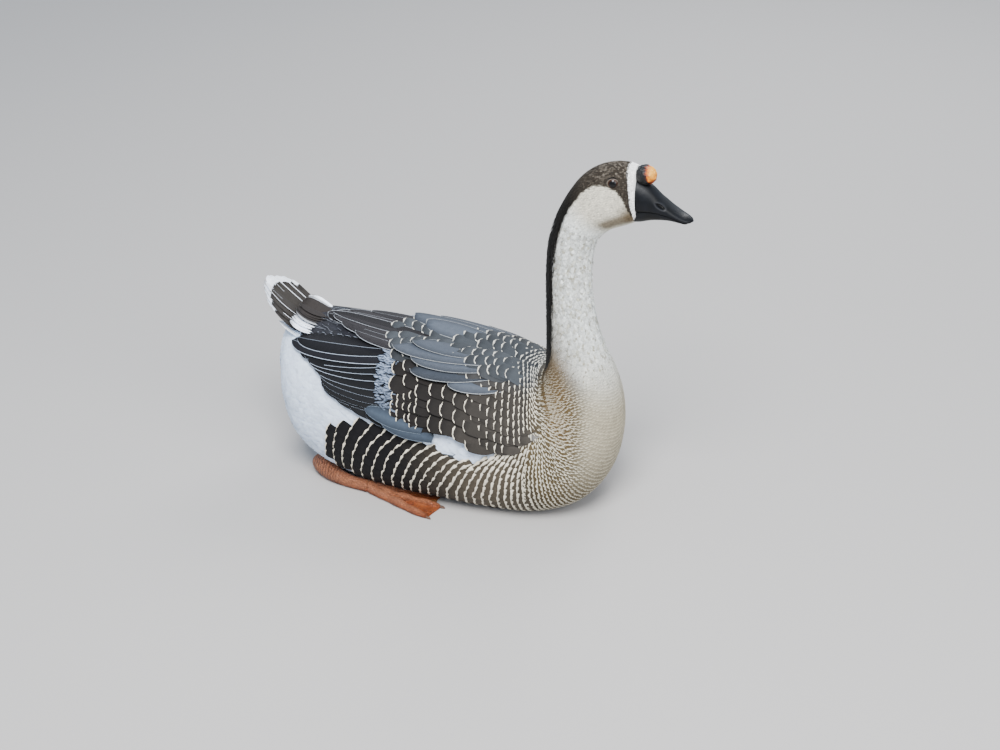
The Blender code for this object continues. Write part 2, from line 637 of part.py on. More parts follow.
def main():
    clear_scene()
    make_materials()
    flesh = make_flesh()
    torso, head = flesh["torso"], flesh["head"]
    upper = make_bill(head)
    make_knob(head, upper)
    make_eyes(head)
    wings = [make_wing(word, side, torso) for word, side in SIDES]
    for word, side in SIDES:
        make_leg(word, side, torso)
    make_tail(torso, *wings)


main()
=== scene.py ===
# %% [markdown]
# # A swan goose at rest
# A domestic swan goose lies on its belly with its neck held up, its legs folded along the floor and one
# webbed foot showing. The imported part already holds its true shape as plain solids. This lesson dresses
# them: one skin, about nineteen thousand feathers laid like tiles, a horny bill, a warty knob, eyes and
# scaly feet. The frame comes first, so that everything after it is placed in the part's own measures, in
# metres, with the bill toward +X and the floor at z = 0.

# %% The frame
import math

import bmesh
import bpy
import numpy as np
from mathutils import Matrix, Vector, noise


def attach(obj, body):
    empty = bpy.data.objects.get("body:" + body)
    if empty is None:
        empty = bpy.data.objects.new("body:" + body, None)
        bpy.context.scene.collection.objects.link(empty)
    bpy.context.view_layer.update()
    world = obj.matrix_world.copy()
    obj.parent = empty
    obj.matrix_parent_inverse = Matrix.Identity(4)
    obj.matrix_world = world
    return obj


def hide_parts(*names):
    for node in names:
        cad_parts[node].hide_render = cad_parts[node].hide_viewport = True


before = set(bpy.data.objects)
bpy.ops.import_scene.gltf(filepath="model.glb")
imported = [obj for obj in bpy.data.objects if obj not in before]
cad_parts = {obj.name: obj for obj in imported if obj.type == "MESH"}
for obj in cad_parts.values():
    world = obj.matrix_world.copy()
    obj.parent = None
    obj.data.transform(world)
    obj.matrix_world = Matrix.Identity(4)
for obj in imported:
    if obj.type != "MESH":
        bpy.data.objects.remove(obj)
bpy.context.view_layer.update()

# %% [markdown]
# ## Colours
# Colours are given as sRGB hex values, but Blender's shaders count in linear light. One function
# turns the first into the second, so that every colour below stays readable. A bird's colours come in
# families: the dark browns hold melanin, the creams little of it, and the white feathers look faintly
# blue out of doors, because they take the colour of the sky.

# %% Colours
def linear(text):
    """A hex colour as linear red, green, blue and opaque."""
    parts = [int(text[i:i + 2], 16) / 255 for i in (1, 3, 5)]
    return [v / 12.92 if v <= 0.04045 else ((v + 0.055) / 1.055) ** 2.4 for v in parts] + [1.0]


def plain(text, count):
    """The same colour for each of many feathers, in linear light."""
    return np.tile(linear(text)[:3], (count, 1))


CREAM, CHEEK, BAND = "#e6e9e4", "#cec8b7", "#fbfaf7"
CAP, CAP_PALE, NAPE, TAN, JAW = "#302a23", "#8b8276", "#0c0906", "#6a5433", "#57462c"
BUFF, BUFF_FRONT, BUFF_EDGE = "#574b35", "#b1a78f", "#cdc6b2"
FLANK, FLANK_FRONT, FLANK_EDGE = "#100f11", "#544c40", "#e6ddc8"
# WHITE is painted faintly blue, a painted reflection of the sky on the white feathers
WHITE, DOWN = "#dce9fa", "#8492a8"
MANTLE, MANTLE_EDGE = "#33373b", "#d6d4ca"
COVERT, SHOULDER, COVERT_EDGE = "#171412", "#3a3631", "#e2d9c4"
SCAPULAR, SCAPULAR_EDGE = "#424851", "#a0a4a7"
BLUE_COVERT, BLUE_COVERT_EDGE = "#39434f", "#66727f"
FLIGHT, FLIGHT_TOP, FLIGHT_RIM = "#08090d", "#131318", "#aab5c4"
TERTIAL, TERTIAL_EDGE = "#211f21", "#a7abb2"
RUMP, RUMP_EDGE = "#24252b", "#70747c"
TAIL_DARK, TAIL_WHITE, TAIL_COVERT, TAIL_COVERT_EDGE = "#2d2a27", "#eef3fa", "#2a2624", "#4a4744"
print("white feathers in linear light:", [round(v, 2) for v in linear(WHITE)[:3]])

# %% [markdown]
# ## A map of the bird
# Feathers need an address. The body, neck and head are a loft over rings, so a place on the bird is a
# ring number and an angle round that ring: 0 on the back, 90 on a side, 180 on the belly. The rings are
# those of the solids. A sculptor would scatter feathers with a surface tool instead, but an address keeps
# both sides alike, tells each feather which way is back, and lets markings be written as plain sums of
# ring and angle.

# %% The rings
RINGS = np.array([(*back, *belly, *rest) for back, belly, *rest in (
    ((-0.2470, 0.1850), (-0.2520, 0.1030), 0.036, 0.50, 2.0, 2.0),    # rump
    ((-0.2350, 0.1920), (-0.2440, 0.0640), 0.060, 0.52, 2.0, 2.1),
    ((-0.2110, 0.1960), (-0.2210, 0.0260), 0.082, 0.54, 2.0, 2.2),
    ((-0.1740, 0.1940), (-0.1790, 0.0020), 0.097, 0.54, 2.0, 2.3),
    ((-0.1270, 0.1890), (-0.1270, -0.0080), 0.107, 0.54, 2.0, 2.4),
    ((-0.0760, 0.1850), (-0.0720, -0.0110), 0.112, 0.54, 2.0, 2.5),
    ((-0.0250, 0.1830), (-0.0180, -0.0120), 0.114, 0.54, 2.0, 2.5),
    ((0.0200, 0.1800), (0.0340, -0.0120), 0.114, 0.54, 2.0, 2.6),
    ((0.0580, 0.1740), (0.0820, -0.0105), 0.111, 0.54, 2.0, 2.6),
    ((0.0840, 0.1680), (0.1250, -0.0065), 0.105, 0.54, 2.0, 2.5),     # shoulders
    ((0.0960, 0.1660), (0.1630, 0.0090), 0.096, 0.54, 2.0, 2.4),
    ((0.1005, 0.1700), (0.1890, 0.0410), 0.085, 0.54, 2.0, 2.3),
    ((0.1020, 0.1780), (0.2000, 0.0870), 0.072, 0.52, 2.0, 2.1),
    ((0.1025, 0.1900), (0.2000, 0.1320), 0.058, 0.50, 2.0, 2.0),
    ((0.1020, 0.2040), (0.1915, 0.1690), 0.047, 0.50, 2.0, 2.0),      # foot of the neck
    ((0.1010, 0.2250), (0.1775, 0.2030), 0.037, 0.50, 2.0, 2.0),
    ((0.1000, 0.2560), (0.1640, 0.2430), 0.030, 0.50, 2.0, 2.0),
    ((0.0990, 0.2900), (0.1570, 0.2830), 0.027, 0.50, 2.0, 2.0),
    ((0.0990, 0.3220), (0.1555, 0.3190), 0.026, 0.50, 2.0, 2.0),
    ((0.1010, 0.3500), (0.1580, 0.3450), 0.026, 0.50, 2.0, 2.0),
    ((0.1070, 0.3760), (0.1640, 0.3620), 0.026, 0.50, 2.0, 2.0),
    ((0.1160, 0.3990), (0.1720, 0.3710), 0.0265, 0.50, 2.0, 2.0),     # nape and throat
    ((0.1270, 0.4200), (0.1800, 0.3780), 0.0275, 0.52, 2.0, 2.0),
    ((0.1410, 0.4400), (0.1880, 0.3820), 0.0280, 0.54, 2.0, 2.1),
    ((0.1580, 0.4540), (0.1950, 0.3850), 0.0280, 0.56, 2.2, 2.1),     # eyes
    ((0.1780, 0.4620), (0.2020, 0.3880), 0.0265, 0.56, 2.3, 2.1),
    ((0.1960, 0.4640), (0.2080, 0.3910), 0.0245, 0.56, 2.3, 2.1),
    ((0.2085, 0.4620), (0.2130, 0.3940), 0.0215, 0.56, 2.2, 2.1),     # foot of the bill
)], float)
FACE = len(RINGS) - 1


def between(rows, at):
    """Rows of numbers read at fractional places, on a smooth curve through them."""
    rows, at = np.asarray(rows, float), np.asarray(at, float)
    end = len(rows) - 1
    i = np.clip(np.floor(at).astype(int), 0, end - 1)
    t = (at - i)[..., None]
    a, b = rows[i], rows[i + 1]
    m0 = (b - rows[np.maximum(i - 1, 0)]) / np.where(i > 0, 2, 1)[..., None]
    m1 = (rows[np.minimum(i + 2, end)] - a) / np.where(i + 2 <= end, 2, 1)[..., None]
    return ((2 * t**3 - 3 * t**2 + 1) * a + (t**3 - 2 * t**2 + t) * m0
            + (3 * t**2 - 2 * t**3) * b + (t**3 - t**2) * m1)


print("rings:", len(RINGS), "numbered from the rump to the bill")

# %% [markdown]
# ## Places and directions
# A ring is two half ellipses, or squarer curves of the same kind, that meet where the body is widest. Two
# more functions give what a feather needs at its place: which way is outward, and how far one ring and
# one degree reach there in metres.

# %% Places on the bird
def spot_at(at, angle):
    """Points of the bird's surface. Positive angles are on its right side, toward -Y."""
    angle = (np.asarray(angle, float) + 180) % 360 - 180
    xb, zb, xv, zv, half, widest, above, below = np.moveaxis(between(RINGS, at), -1, 0)
    xc, zc = xb + (xv - xb) * widest, zb + (zv - zb) * widest
    turn = np.radians(np.abs(angle))
    upper = turn <= np.pi / 2
    full = np.where(upper, above, below)
    rise, out = np.abs(np.cos(turn)) ** (2 / full), np.abs(np.sin(turn)) ** (2 / full)
    xe, ze = np.where(upper, xb, xv), np.where(upper, zb, zv)
    side = np.where(angle >= 0, -1, 1)
    return np.stack([xc + (xe - xc) * rise, side * half * out, np.maximum(zc + (ze - zc) * rise, 0.0)], -1)


def unit(v):
    return v / np.maximum(np.linalg.norm(v, axis=-1, keepdims=True), 1e-12)


def surface(at, angle):
    """Points of the surface and the outward direction at each."""
    at, angle = np.broadcast_arrays(np.clip(np.asarray(at, float), 0, FACE), np.asarray(angle, float))
    along = spot_at(np.minimum(at + 0.05, FACE), angle) - spot_at(np.maximum(at - 0.05, 0), angle)
    round_it = spot_at(at, angle + 1) - spot_at(at, angle - 1)
    return spot_at(at, angle), unit(np.cross(round_it, along))


def reach(at, angle):
    """How many metres one ring and one degree are at a place."""
    along = spot_at(np.minimum(at + 0.1, FACE), angle) - spot_at(np.maximum(at - 0.1, 0), angle)
    step = np.minimum(at + 0.1, FACE) - np.maximum(at - 0.1, 0)
    return (np.maximum(np.linalg.norm(along, axis=-1) / step, 0.004),
            np.maximum(np.linalg.norm(spot_at(at, angle + 1) - spot_at(at, angle - 1), axis=-1) / 2, 1e-4))


print("widest place:", round(float(spot_at(6.5, 90)[1]) * 1000), "mm; a ring at the breast is",
      round(float(reach(np.float64(11), np.float64(150))[0]) * 1000), "mm")

# %% [markdown]
# ## Markings
# The same function colours the skin and every feather that grows from it, so that a gap between two
# feathers never shows a wrong colour. A marking is a soft step between two rings or two angles. The swan
# goose has a dark stripe from the bill over the crown and down the nape, pale cheeks and throat, a white
# line round the bill's foot, a buff breast, dark flanks and a white belly and vent.

# %% Steps between markings
CAP_EDGE = (      # how far down each side the dark cap and stripe reach: ring, degrees
    (10.8, 2), (11.8, 14), (12.6, 25), (13.4, 36), (14.2, 45), (15.6, 52), (16.9, 58), (18.1, 61),
    (19.6, 58), (20.5, 54), (21.5, 50), (22.2, 48), (22.9, 47), (23.6, 48), (24.1, 53), (24.6, 62),
    (25.0, 69), (25.3, 76), (25.6, 88), (25.85, 104), (26.1, 122), (27.0, 128))


def soft(value, start, end):
    """0 before the start, 1 after the end, and a smooth step between."""
    share = np.clip((value - start) / (end - start), 0, 1)
    return share * share * (3 - 2 * share)


def tinted(ground, text, share):
    """The ground colour with some of another colour over it."""
    return ground + (np.array(linear(text)[:3]) - ground) * np.asarray(share)[..., None]


def wander(at, angle, scale, seed):
    """A slow, repeatable unevenness from -1 to 1, so that no edge is ruled."""
    return (np.sin(at * scale + seed) * np.cos(angle * scale * 0.06 + seed * 2.1)
            + np.sin(at * scale * 2.3 + angle * 0.11 + seed * 3.7)) / 2


def flank_share(at, angle):
    """1 on the dark barred flank, 0 off it."""
    top = np.interp(at, (3.2, 3.5, 3.85, 4.3, 4.8, 5.3, 5.8, 6.3, 6.8, 7.3, 7.8, 8.2, 8.8),
                    (87, 80, 74, 70, 69, 69, 76, 81, 84, 83, 76, 68, 58))
    low = np.interp(at, (3.2, 3.5, 4.5, 5.0, 6.0, 9.0), (112, 122, 130, 134, 140, 165))
    inside = soft(angle, top - 1.5, top + 1.5) * (1 - soft(angle, low - 4, low + 6))
    rear = np.interp(angle, (75, 95, 130), (3.38, 3.23, 3.16))
    return inside * soft(at, rear - 0.08, rear) * (1 - soft(at, 8.2, 9.4))


print("the cap reaches", np.interp(24, *zip(*CAP_EDGE)), "degrees down at the eye")

# %% [markdown]
# ## The coat's colours in order
# The colours are laid over each other like coats of paint, from the white of the belly to the white band
# at the bill. Each has a share from 0 to 1, a product of soft steps.

# %% Plumage
def plumage(at, angle, flank=None):
    """The colour of the coat at each place. A share of dark flank may be given instead of the map's own."""
    angle = np.abs((np.asarray(angle, float) + 180) % 360 - 180)
    at = np.asarray(at, float) + 0 * angle
    flank = flank_share(at, angle) if flank is None else flank
    back = (1 - soft(angle, 58, 66)) * soft(at, 3.8, 4.6) * (1 - soft(at, 8.8, 9.5))
    jaw = soft(at, 21.4, 22.6) * soft(angle, 104, 124) * (1 - soft(angle, 134, 156))
    edge = np.interp(at, *zip(*CAP_EDGE)) + 1.6 * wander(at, angle, 5, 1)
    cap = (1 - soft(angle, edge - 3, edge + 3)) * soft(at, 10.6, 12.4)
    brown = (1 - soft(angle, edge - 1, edge + 9)) * soft(at, 11.6, 13.4) * (1 - soft(at, 20.0, 22.0))
    band = np.interp(angle, (0, 60, 100, 126, 180), (26.12, 26.22, 26.32, 26.42, 26.3))
    band = band + 0.05 * wander(at * 0, angle, 9, 2)
    coats = (
        (BUFF_FRONT, soft(at, 4.8, 7.4) * soft(angle, 98, 122)),      # belly
        (BUFF, soft(at, 7.4, 8.5) * soft(angle, 50, 66)),             # breast
        (BUFF, soft(at, 9.0, 9.8)),
        (BUFF_FRONT, soft(at, 9.6, 12.4) * soft(angle, 86, 122)),
        (FLANK, flank),
        (FLANK_FRONT, flank * soft(at, 5.0, 7.4)),
        (COVERT, back),
        (MANTLE, back * soft(at, 4.6, 5.6) * (1 - soft(angle, 16, 30))),
        (RUMP, soft(at, 1.5, 2.0) * (1 - soft(at, 4.0, 5.0)) * (1 - soft(angle, 22, 34))),
        (CREAM, soft(at, 12.6, 15.8)),                                # neck
        (TAN, soft(at, 10.0, 11.4) * (1 - soft(at, 13.6, 16.8)) * (1 - soft(angle, 56, 112)) * 0.85),
        (TAN, soft(at, 15.0, 16.0) * (1 - soft(at, 19.5, 21)) * (1 - soft(angle, 52, 84)) * 0.4),
        (CHEEK, soft(at, 20.4, 22.4)),
        (JAW, jaw * 0.78),
        (JAW, soft(at, 24.0, 25.9) * soft(angle, 86, 112) * (1 - soft(angle, 140, 160)) * 0.7),
        (CAP, brown * 0.6),                                           # along the nape stripe
        (NAPE, cap),
        (CAP, cap * soft(at, 21.0, 23.6)),
        (BAND, soft(at, band - 0.05, band + 0.05)))
    ground = np.zeros(at.shape + (3,)) + np.array(linear(WHITE)[:3])
    for text, share in coats:
        ground = tinted(ground, text, share)
    return ground


print("nape, cheek and breast:",
      np.round(plumage(np.array([18, 24, 11]), np.array([0, 100, 120])), 2).tolist())

# %% [markdown]
# ## Small tools for nodes
# Every finish below is built from shader nodes. One function adds a node, with its settings and with
# whatever feeds its sockets, which may be a plain value or another node. Three more start a finish, close
# it with its shader and set the stops of a ramp.

# %% Tools for nodes
def add_node(finish, kind, feeds=None, out=0, **settings):
    """A shader node. Feeds are values, or outputs of other nodes, by socket. It gives one of its outputs."""
    made = finish.node_tree.nodes.new("ShaderNode" + kind)
    for name, value in settings.items():
        setattr(made, name, value)
    for socket, value in (feeds or {}).items():
        if isinstance(value, bpy.types.NodeSocket):
            finish.node_tree.links.new(value, made.inputs[socket])
        else:
            made.inputs[socket].default_value = value
    return made.outputs[out] if made.outputs else made


def new_finish(name):
    """A named finish with nothing in it yet, and a place on the object to read patterns from."""
    finish = bpy.data.materials.new(name)
    finish.use_nodes = True
    finish.node_tree.nodes.clear()
    return finish, add_node(finish, "TexCoord", out="Object")


def lay_on(finish, feeds):
    """The surface of a finish, as one Principled shader."""
    add_node(finish, "OutputMaterial", {"Surface": add_node(finish, "BsdfPrincipled", feeds)})
    return finish


def colour_stops(socket, stops):
    """The colours of a ramp node, as position and hex."""
    ramp = socket.node.color_ramp
    while len(ramp.elements) < len(stops):
        ramp.elements.new(0.5)
    for element, (position, text) in zip(ramp.elements, sorted(stops)):
        element.position, element.color = position, linear(text)
    return socket


print("materials so far:", len(bpy.data.materials))

# %% [markdown]
# ## Small tools for pieces
# A finished shape becomes a mesh with smooth shading. A mesh can keep a named value at each of its
# corners, for its finish to read. The last tool puts the mesh in the scene, lets it ride on the bird's
# one body, and hides the solids it stands for.

# %% Tools for pieces
FIELDS = {"FLOAT": "value", "BOOLEAN": "value", "FLOAT_VECTOR": "vector", "FLOAT_COLOR": "color"}


def finished(shape, name):
    """A bmesh as a mesh with smooth shading."""
    mesh = bpy.data.meshes.new(name)
    shape.to_mesh(mesh)
    shape.free()
    mesh.polygons.foreach_set("use_smooth", np.ones(len(mesh.polygons), bool))
    return mesh


def keep_on(mesh, name, values, kind="FLOAT", domain="POINT"):
    """The mesh with one more named value at each corner, or at each edge."""
    sort = bool if kind == "BOOLEAN" else np.float32
    mesh.attributes.new(name, kind, domain).data.foreach_set(FIELDS[kind], np.ravel(values).astype(sort))
    return mesh


def show(name, mesh, finish, slot, *stands_for):
    """The mesh as a piece of the bird."""
    piece = bpy.data.objects.new(name, mesh)
    bpy.context.scene.collection.objects.link(piece)
    mesh.materials.clear()
    mesh.materials.append(finish)
    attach(piece, "root")
    if stands_for:
        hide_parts(*stands_for)
    mesh.calc_loop_triangles()
    print(f"{name}: {len(mesh.loop_triangles)} triangles")
    return piece


print("values that a mesh can keep:", ", ".join(FIELDS))

# %% [markdown]
# ## What a feather is made of
# A contour feather is keratin: a shaft with a flat vane on each side, woven of barbs that slant toward
# the tip. Barbs lie about 0.6 mm apart, too fine for this picture, so they are drawn 1 mm apart, and only
# as a faint relief and shade. The margin is often paler than the middle, which is what draws the bars on
# the wings and flanks. The colours come with each feather as attributes, and the pale margin is worked
# out from the feather's own length and width in millimetres, so that it keeps one width on small and
# large feathers alike. On flanks and wing coverts only the tip has it, so the sides of a margin can be
# held back. Keratin is matt, with a little sheen from the loose barbs.

# %% Distance from the margin
RAGGED, SWELL, SIDE_HELD = 0.7, 0.5, 4.0      # millimetres, a share of the margin's width, a share of the way


def margin_distance(finish, sides, to_tip, wide, behind, across, fringe, ragged, patchy):
    """Millimetres from the shaft, and millimetres from a margin that is a little worn and uneven."""
    off_shaft = add_node(finish, "Math", {0: across, 1: 2.0, 2: -1.0}, operation="MULTIPLY_ADD")
    off_shaft = add_node(finish, "Math", {0: off_shaft}, operation="ABSOLUTE")
    off_mm = add_node(finish, "Math", {0: off_shaft, 1: wide}, operation="MULTIPLY")
    to_side = add_node(finish, "Math", {0: wide, 1: off_mm}, operation="SUBTRACT")
    held_back = SIDE_HELD * (1 - sides)
    to_side = add_node(finish, "Math", {0: behind, 1: held_back, 2: to_side}, operation="MULTIPLY_ADD")
    to_margin = add_node(finish, "Math", {0: to_side, 1: to_tip}, operation="MINIMUM")
    jagged = add_node(finish, "MapRange", {"Value": ragged, "To Min": -RAGGED, "To Max": RAGGED})
    to_margin = add_node(finish, "Math", {0: to_margin, 1: jagged}, operation="ADD")
    swell = add_node(finish, "MapRange", {"Value": patchy, "To Min": -SWELL, "To Max": SWELL})
    to_margin = add_node(finish, "Math", {0: swell, 1: fringe, 2: to_margin}, operation="MULTIPLY_ADD")
    return off_mm, to_margin


print("a margin wanders by", RAGGED, "mm, and by", SWELL, "of its own width")

# %% [markdown]
# ## Margins, lines and shafts
# The pale margin is a soft step on that distance. Flight feathers also have a white line along the lower
# edge and a pale shaft, which thins toward the tip. One mask holds all three, and the feather's edge colour
# goes there.

# %% Margins, lines and shafts
SHAFT_HALF, NO_LINE = 0.38, 0.02      # millimetres, and a line thinner than the second isn't drawn


def pale_mask(finish, to_margin, off_mm, has_margin, fringe, rim, wide, across, along):
    """1 on the pale margin, on the line of the lower edge and on the shaft."""
    inner = add_node(finish, "Math", {0: fringe, 1: 0.75}, operation="MULTIPLY")
    outer = add_node(finish, "Math", {0: fringe, 1: 0.15}, operation="ADD")
    pale = add_node(finish, "MapRange", {"Value": to_margin, "From Min": inner, "From Max": outer,
                                         "To Min": 1.0, "To Max": 0.0}, interpolation_type="SMOOTHSTEP")
    pale = add_node(finish, "Math", {0: pale, 1: has_margin}, operation="MULTIPLY")
    to_low = add_node(finish, "Math", {0: 1.0, 1: across}, operation="SUBTRACT")
    to_low = add_node(finish, "Math", {0: to_low, 1: wide}, operation="MULTIPLY")
    lined = add_node(finish, "Math", {0: to_low, 1: rim}, operation="LESS_THAN")
    quill = add_node(finish, "Math", {0: along, 1: -0.25, 2: SHAFT_HALF}, operation="MULTIPLY_ADD")
    quill = add_node(finish, "Math", {0: off_mm, 1: quill}, operation="LESS_THAN")
    has_quill = add_node(finish, "Math", {0: rim, 1: NO_LINE}, operation="GREATER_THAN")
    quill = add_node(finish, "Math", {0: quill, 1: has_quill}, operation="MULTIPLY")
    quill = add_node(finish, "Math", {0: quill, 1: 0.7}, operation="MULTIPLY")
    mask = add_node(finish, "Math", {0: pale, 1: lined}, operation="MAXIMUM")
    mask = add_node(finish, "Math", {0: mask, 1: quill}, operation="MAXIMUM")
    return mask


print("a shaft is", 2 * SHAFT_HALF, "mm wide at its root")

# %% [markdown]
# ## Barbs and fine bars
# Barbs slant from the shaft toward the margin. Breast feathers have fine cross bars as well. Both are sine
# waves along a run in millimetres. With the patches on a feather, and the difference from one feather to the
# next, they make its light and shade.

# %% Barbs and fine bars
BARB_GAP, FINE_BAR_GAP = 1.0, 1.9      # millimetres


def vane_shade(finish, off_mm, to_tip, seed, bars, ragged, patchy):
    """The waves of the barbs, and the shade of barbs, fine bars, patches and the whole feather."""
    barb_run = add_node(finish, "Math", {0: off_mm, 1: -1.1, 2: to_tip}, operation="MULTIPLY_ADD")
    barb_run = add_node(finish, "Math", {0: barb_run, 1: 2 * math.pi / BARB_GAP}, operation="MULTIPLY")
    barbs = add_node(finish, "Math", {0: barb_run}, operation="SINE")
    line_run = add_node(finish, "Math", {0: seed, 1: 1.8, 2: to_tip}, operation="MULTIPLY_ADD")
    line_run = add_node(finish, "Math", {0: ragged, 1: 1.4, 2: line_run}, operation="MULTIPLY_ADD")
    line_run = add_node(finish, "Math", {0: line_run, 1: 2 * math.pi / FINE_BAR_GAP}, operation="MULTIPLY")
    lines = add_node(finish, "Math", {0: line_run}, operation="SINE")
    lines = add_node(finish, "Math", {0: lines, 1: bars}, operation="MULTIPLY")
    shade = add_node(finish, "MapRange", {"Value": patchy, "To Min": 0.78, "To Max": 1.14})
    for strength, pattern in ((0.05, barbs), (0.30, lines), (0.18, seed)):
        shade = add_node(finish, "Math", {0: pattern, 1: strength, 2: shade}, operation="MULTIPLY_ADD")
    return barbs, shade


print("barbs", BARB_GAP, "mm apart and fine bars", FINE_BAR_GAP)

# %% [markdown]
# ## The four feather finishes
# One function joins these for each kind of feather. The ground is deeper just inside a pale margin and paler
# again further in, as on the real vane. Head feathers are matt and velvety, wing and tail vanes smoother.

# %% Feather finishes
KERATIN_IOR, GLOSS_LEVEL = 1.54, 0.16


def feather_finish(name, roughness, sheen, relief, sides):
    """Sides is 1 where the pale margin runs all round a feather, and 0 where only the tip has it."""
    finish, place = new_finish(name)
    ground = add_node(finish, "Attribute", out="Color", attribute_name="ground")
    edge = add_node(finish, "Attribute", out="Color", attribute_name="edge")
    seed = add_node(finish, "Attribute", out="Fac", attribute_name="seed")
    sizes = add_node(finish, "Attribute", out="Vector", attribute_name="sizes")
    sizes = add_node(finish, "SeparateXYZ", {0: sizes})
    marks = add_node(finish, "Attribute", out="Vector", attribute_name="marks")
    marks = add_node(finish, "SeparateXYZ", {0: marks})
    vane = add_node(finish, "SeparateXYZ", {0: add_node(finish, "UVMap", uv_map="Vane")})
    to_tip, wide, behind = sizes.node.outputs      # millimetres
    fringe, rim, bars = marks.node.outputs
    across, along, _ = vane.node.outputs
    ragged = add_node(finish, "TexNoise", {"Vector": place, "Scale": 900.0, "Detail": 2.0}, out="Fac")
    patchy = add_node(finish, "TexNoise", {"Vector": place, "Scale": 210.0, "Detail": 2.0}, out="Fac")
    off_mm, to_margin = margin_distance(finish, sides, to_tip, wide, behind, across, fringe, ragged, patchy)
    has_margin = add_node(finish, "Math", {0: fringe, 1: NO_LINE}, operation="GREATER_THAN")
    mask = pale_mask(finish, to_margin, off_mm, has_margin, fringe, rim, wide, across, along)
    barbs, shade = vane_shade(finish, off_mm, to_tip, seed, bars, ragged, patchy)
    far = add_node(finish, "Math", {0: fringe, 1: 9.0}, operation="ADD")
    near_tone = add_node(finish, "Math", {0: has_margin, 1: -0.30, 2: 1.0}, operation="MULTIPLY_ADD")
    far_tone = add_node(finish, "Math", {0: has_margin, 1: 0.30, 2: 1.0}, operation="MULTIPLY_ADD")
    deep = add_node(finish, "MapRange", {"Value": to_margin, "From Min": fringe, "From Max": far,
                                         "To Min": near_tone, "To Max": far_tone})
    ground = add_node(finish, "VectorMath", {0: ground, "Scale": deep}, operation="SCALE")
    tone = add_node(finish, "Mix", {"Factor": mask, 6: ground, 7: edge}, out=2, data_type="RGBA")
    tone = add_node(finish, "VectorMath", {0: tone, "Scale": shade}, operation="SCALE")
    bump = add_node(finish, "Bump", {"Height": barbs, "Strength": relief, "Distance": 0.0004})
    return lay_on(finish, {"Base Color": tone, "Normal": bump, "Roughness": roughness, "IOR": KERATIN_IOR,
                           "Sheen Weight": sheen, "Sheen Roughness": 0.5, "Specular IOR Level": GLOSS_LEVEL})


velvet = feather_finish("Keratin, velvety head feathers", 0.86, 0.05, 0.10, 1.0)
contour = feather_finish("Keratin, contour feathers", 0.80, 0.03, 0.22, 0.0)
barred = feather_finish("Keratin, barred wing coverts", 0.66, 0.03, 0.28, 0.0)
quills = feather_finish("Keratin, smooth wing and tail vanes", 0.56, 0.02, 0.30, 1.0)
print("feather finishes:", [m.name for m in (velvet, contour, barred, quills)])

# %% [markdown]
# ## One blank for each kind of feather
# A feather is cut from a flat grid. A second grid lies under it and shares its margin, so the blank is a
# closed, thin lens like a real vane, thickest at the shaft. Tufts on the head need only a few faces, a
# flight feather many. Modelling each feather by hand would take weeks, so one blank is bent thousands of
# times.

# %% Feather blanks
MARGIN = 0.999      # corners of a blank past this lie on its margin


def blank(across, along):
    """The corners of a closed lens on a grid, across and along -1..1 and under 0 or -1, and its faces."""
    shape = bmesh.new()
    bmesh.ops.create_grid(shape, x_segments=across, y_segments=along, size=1)
    made = bmesh.ops.duplicate(shape, geom=shape.verts[:] + shape.edges[:] + shape.faces[:])["geom"]
    bmesh.ops.reverse_faces(shape, faces=[f for f in made if isinstance(f, bmesh.types.BMFace)])
    for v in (v for v in made if isinstance(v, bmesh.types.BMVert)):
        v.co.z = 0 if max(abs(v.co.x), abs(v.co.y)) > MARGIN else -1
    bmesh.ops.remove_doubles(shape, verts=shape.verts, dist=1e-4)
    shape.verts.index_update()
    corners = np.array([v.co for v in shape.verts])
    faces = np.array([[v.index for v in f.verts] for f in shape.faces])
    shape.free()
    return corners, faces


TUFT, LEAF, PLUME, QUILL = blank(2, 2), blank(2, 4), blank(4, 6), blank(6, 14)
print("faces of the blanks:", [len(faces) for _, faces in (TUFT, LEAF, PLUME, QUILL)])

# %% [markdown]
# ## Bending the blanks
# A feather follows a line from its root to its tip. Along that line it rises slightly off the body, so
# that its tip covers the next one's root, as a tile covers the tile below. Its width grows from the root
# and closes in a round or square tip. All feathers of a tract are bent at once as arrays, which is far
# quicker than one object each.

# %% Bending the blanks
FLOOR_GAP = 0.0005      # metres, so that no feather lies in the floor


def outline(t, square):
    """A vane's half width along it: narrow at the root, full from the middle, round or square at the tip."""
    grows = 0.45 + 0.55 * np.sin(np.clip(t / 0.55, 0, 1) * np.pi / 2)
    closes = np.clip(1 - np.clip((t - 0.45) / 0.55, 0, 1) ** square, 0, 1) ** 0.5
    return np.maximum(grows * closes, 0.05)


def bent(corners, spots, outs, tract, camber, thick, square):
    """The corners of each feather, the share along it and its half width there."""
    x, under, steps = corners[:, 0], corners[:, 2], spots.shape[1]
    t = (1 - (1 - (corners[:, 1] + 1) / 2) ** 1.4)      # closer together toward the tip
    step = t * (steps - 1)
    low = np.minimum(np.floor(step).astype(int), steps - 2)
    part = (step - low)[None, :, None]

    def along_line(values):
        return values[:, low] * (1 - part) + values[:, low + 1] * part

    out = unit(along_line(outs))
    sideways = unit(np.cross(unit(along_line(unit(np.gradient(spots, axis=1)))), out))
    half, side = tract["half"][:, None], tract["side"][:, None]
    wide = half * outline(t, square)[None]
    turned = -side * tract["roll"][:, None] * x * half
    bowed = camber * half * (1 - x**2) + turned + under * thick * np.sin(np.pi * np.clip(t, 0.08, 0.92))
    points = along_line(spots) + sideways * (x * wide)[..., None] + out * bowed[..., None]
    points[..., 2] = np.maximum(points[..., 2], FLOOR_GAP)
    return points, t, wide


print("half width of a vane at root, middle and tip:", outline(np.array([0, 0.5, 1]), 2.6).round(2).tolist())
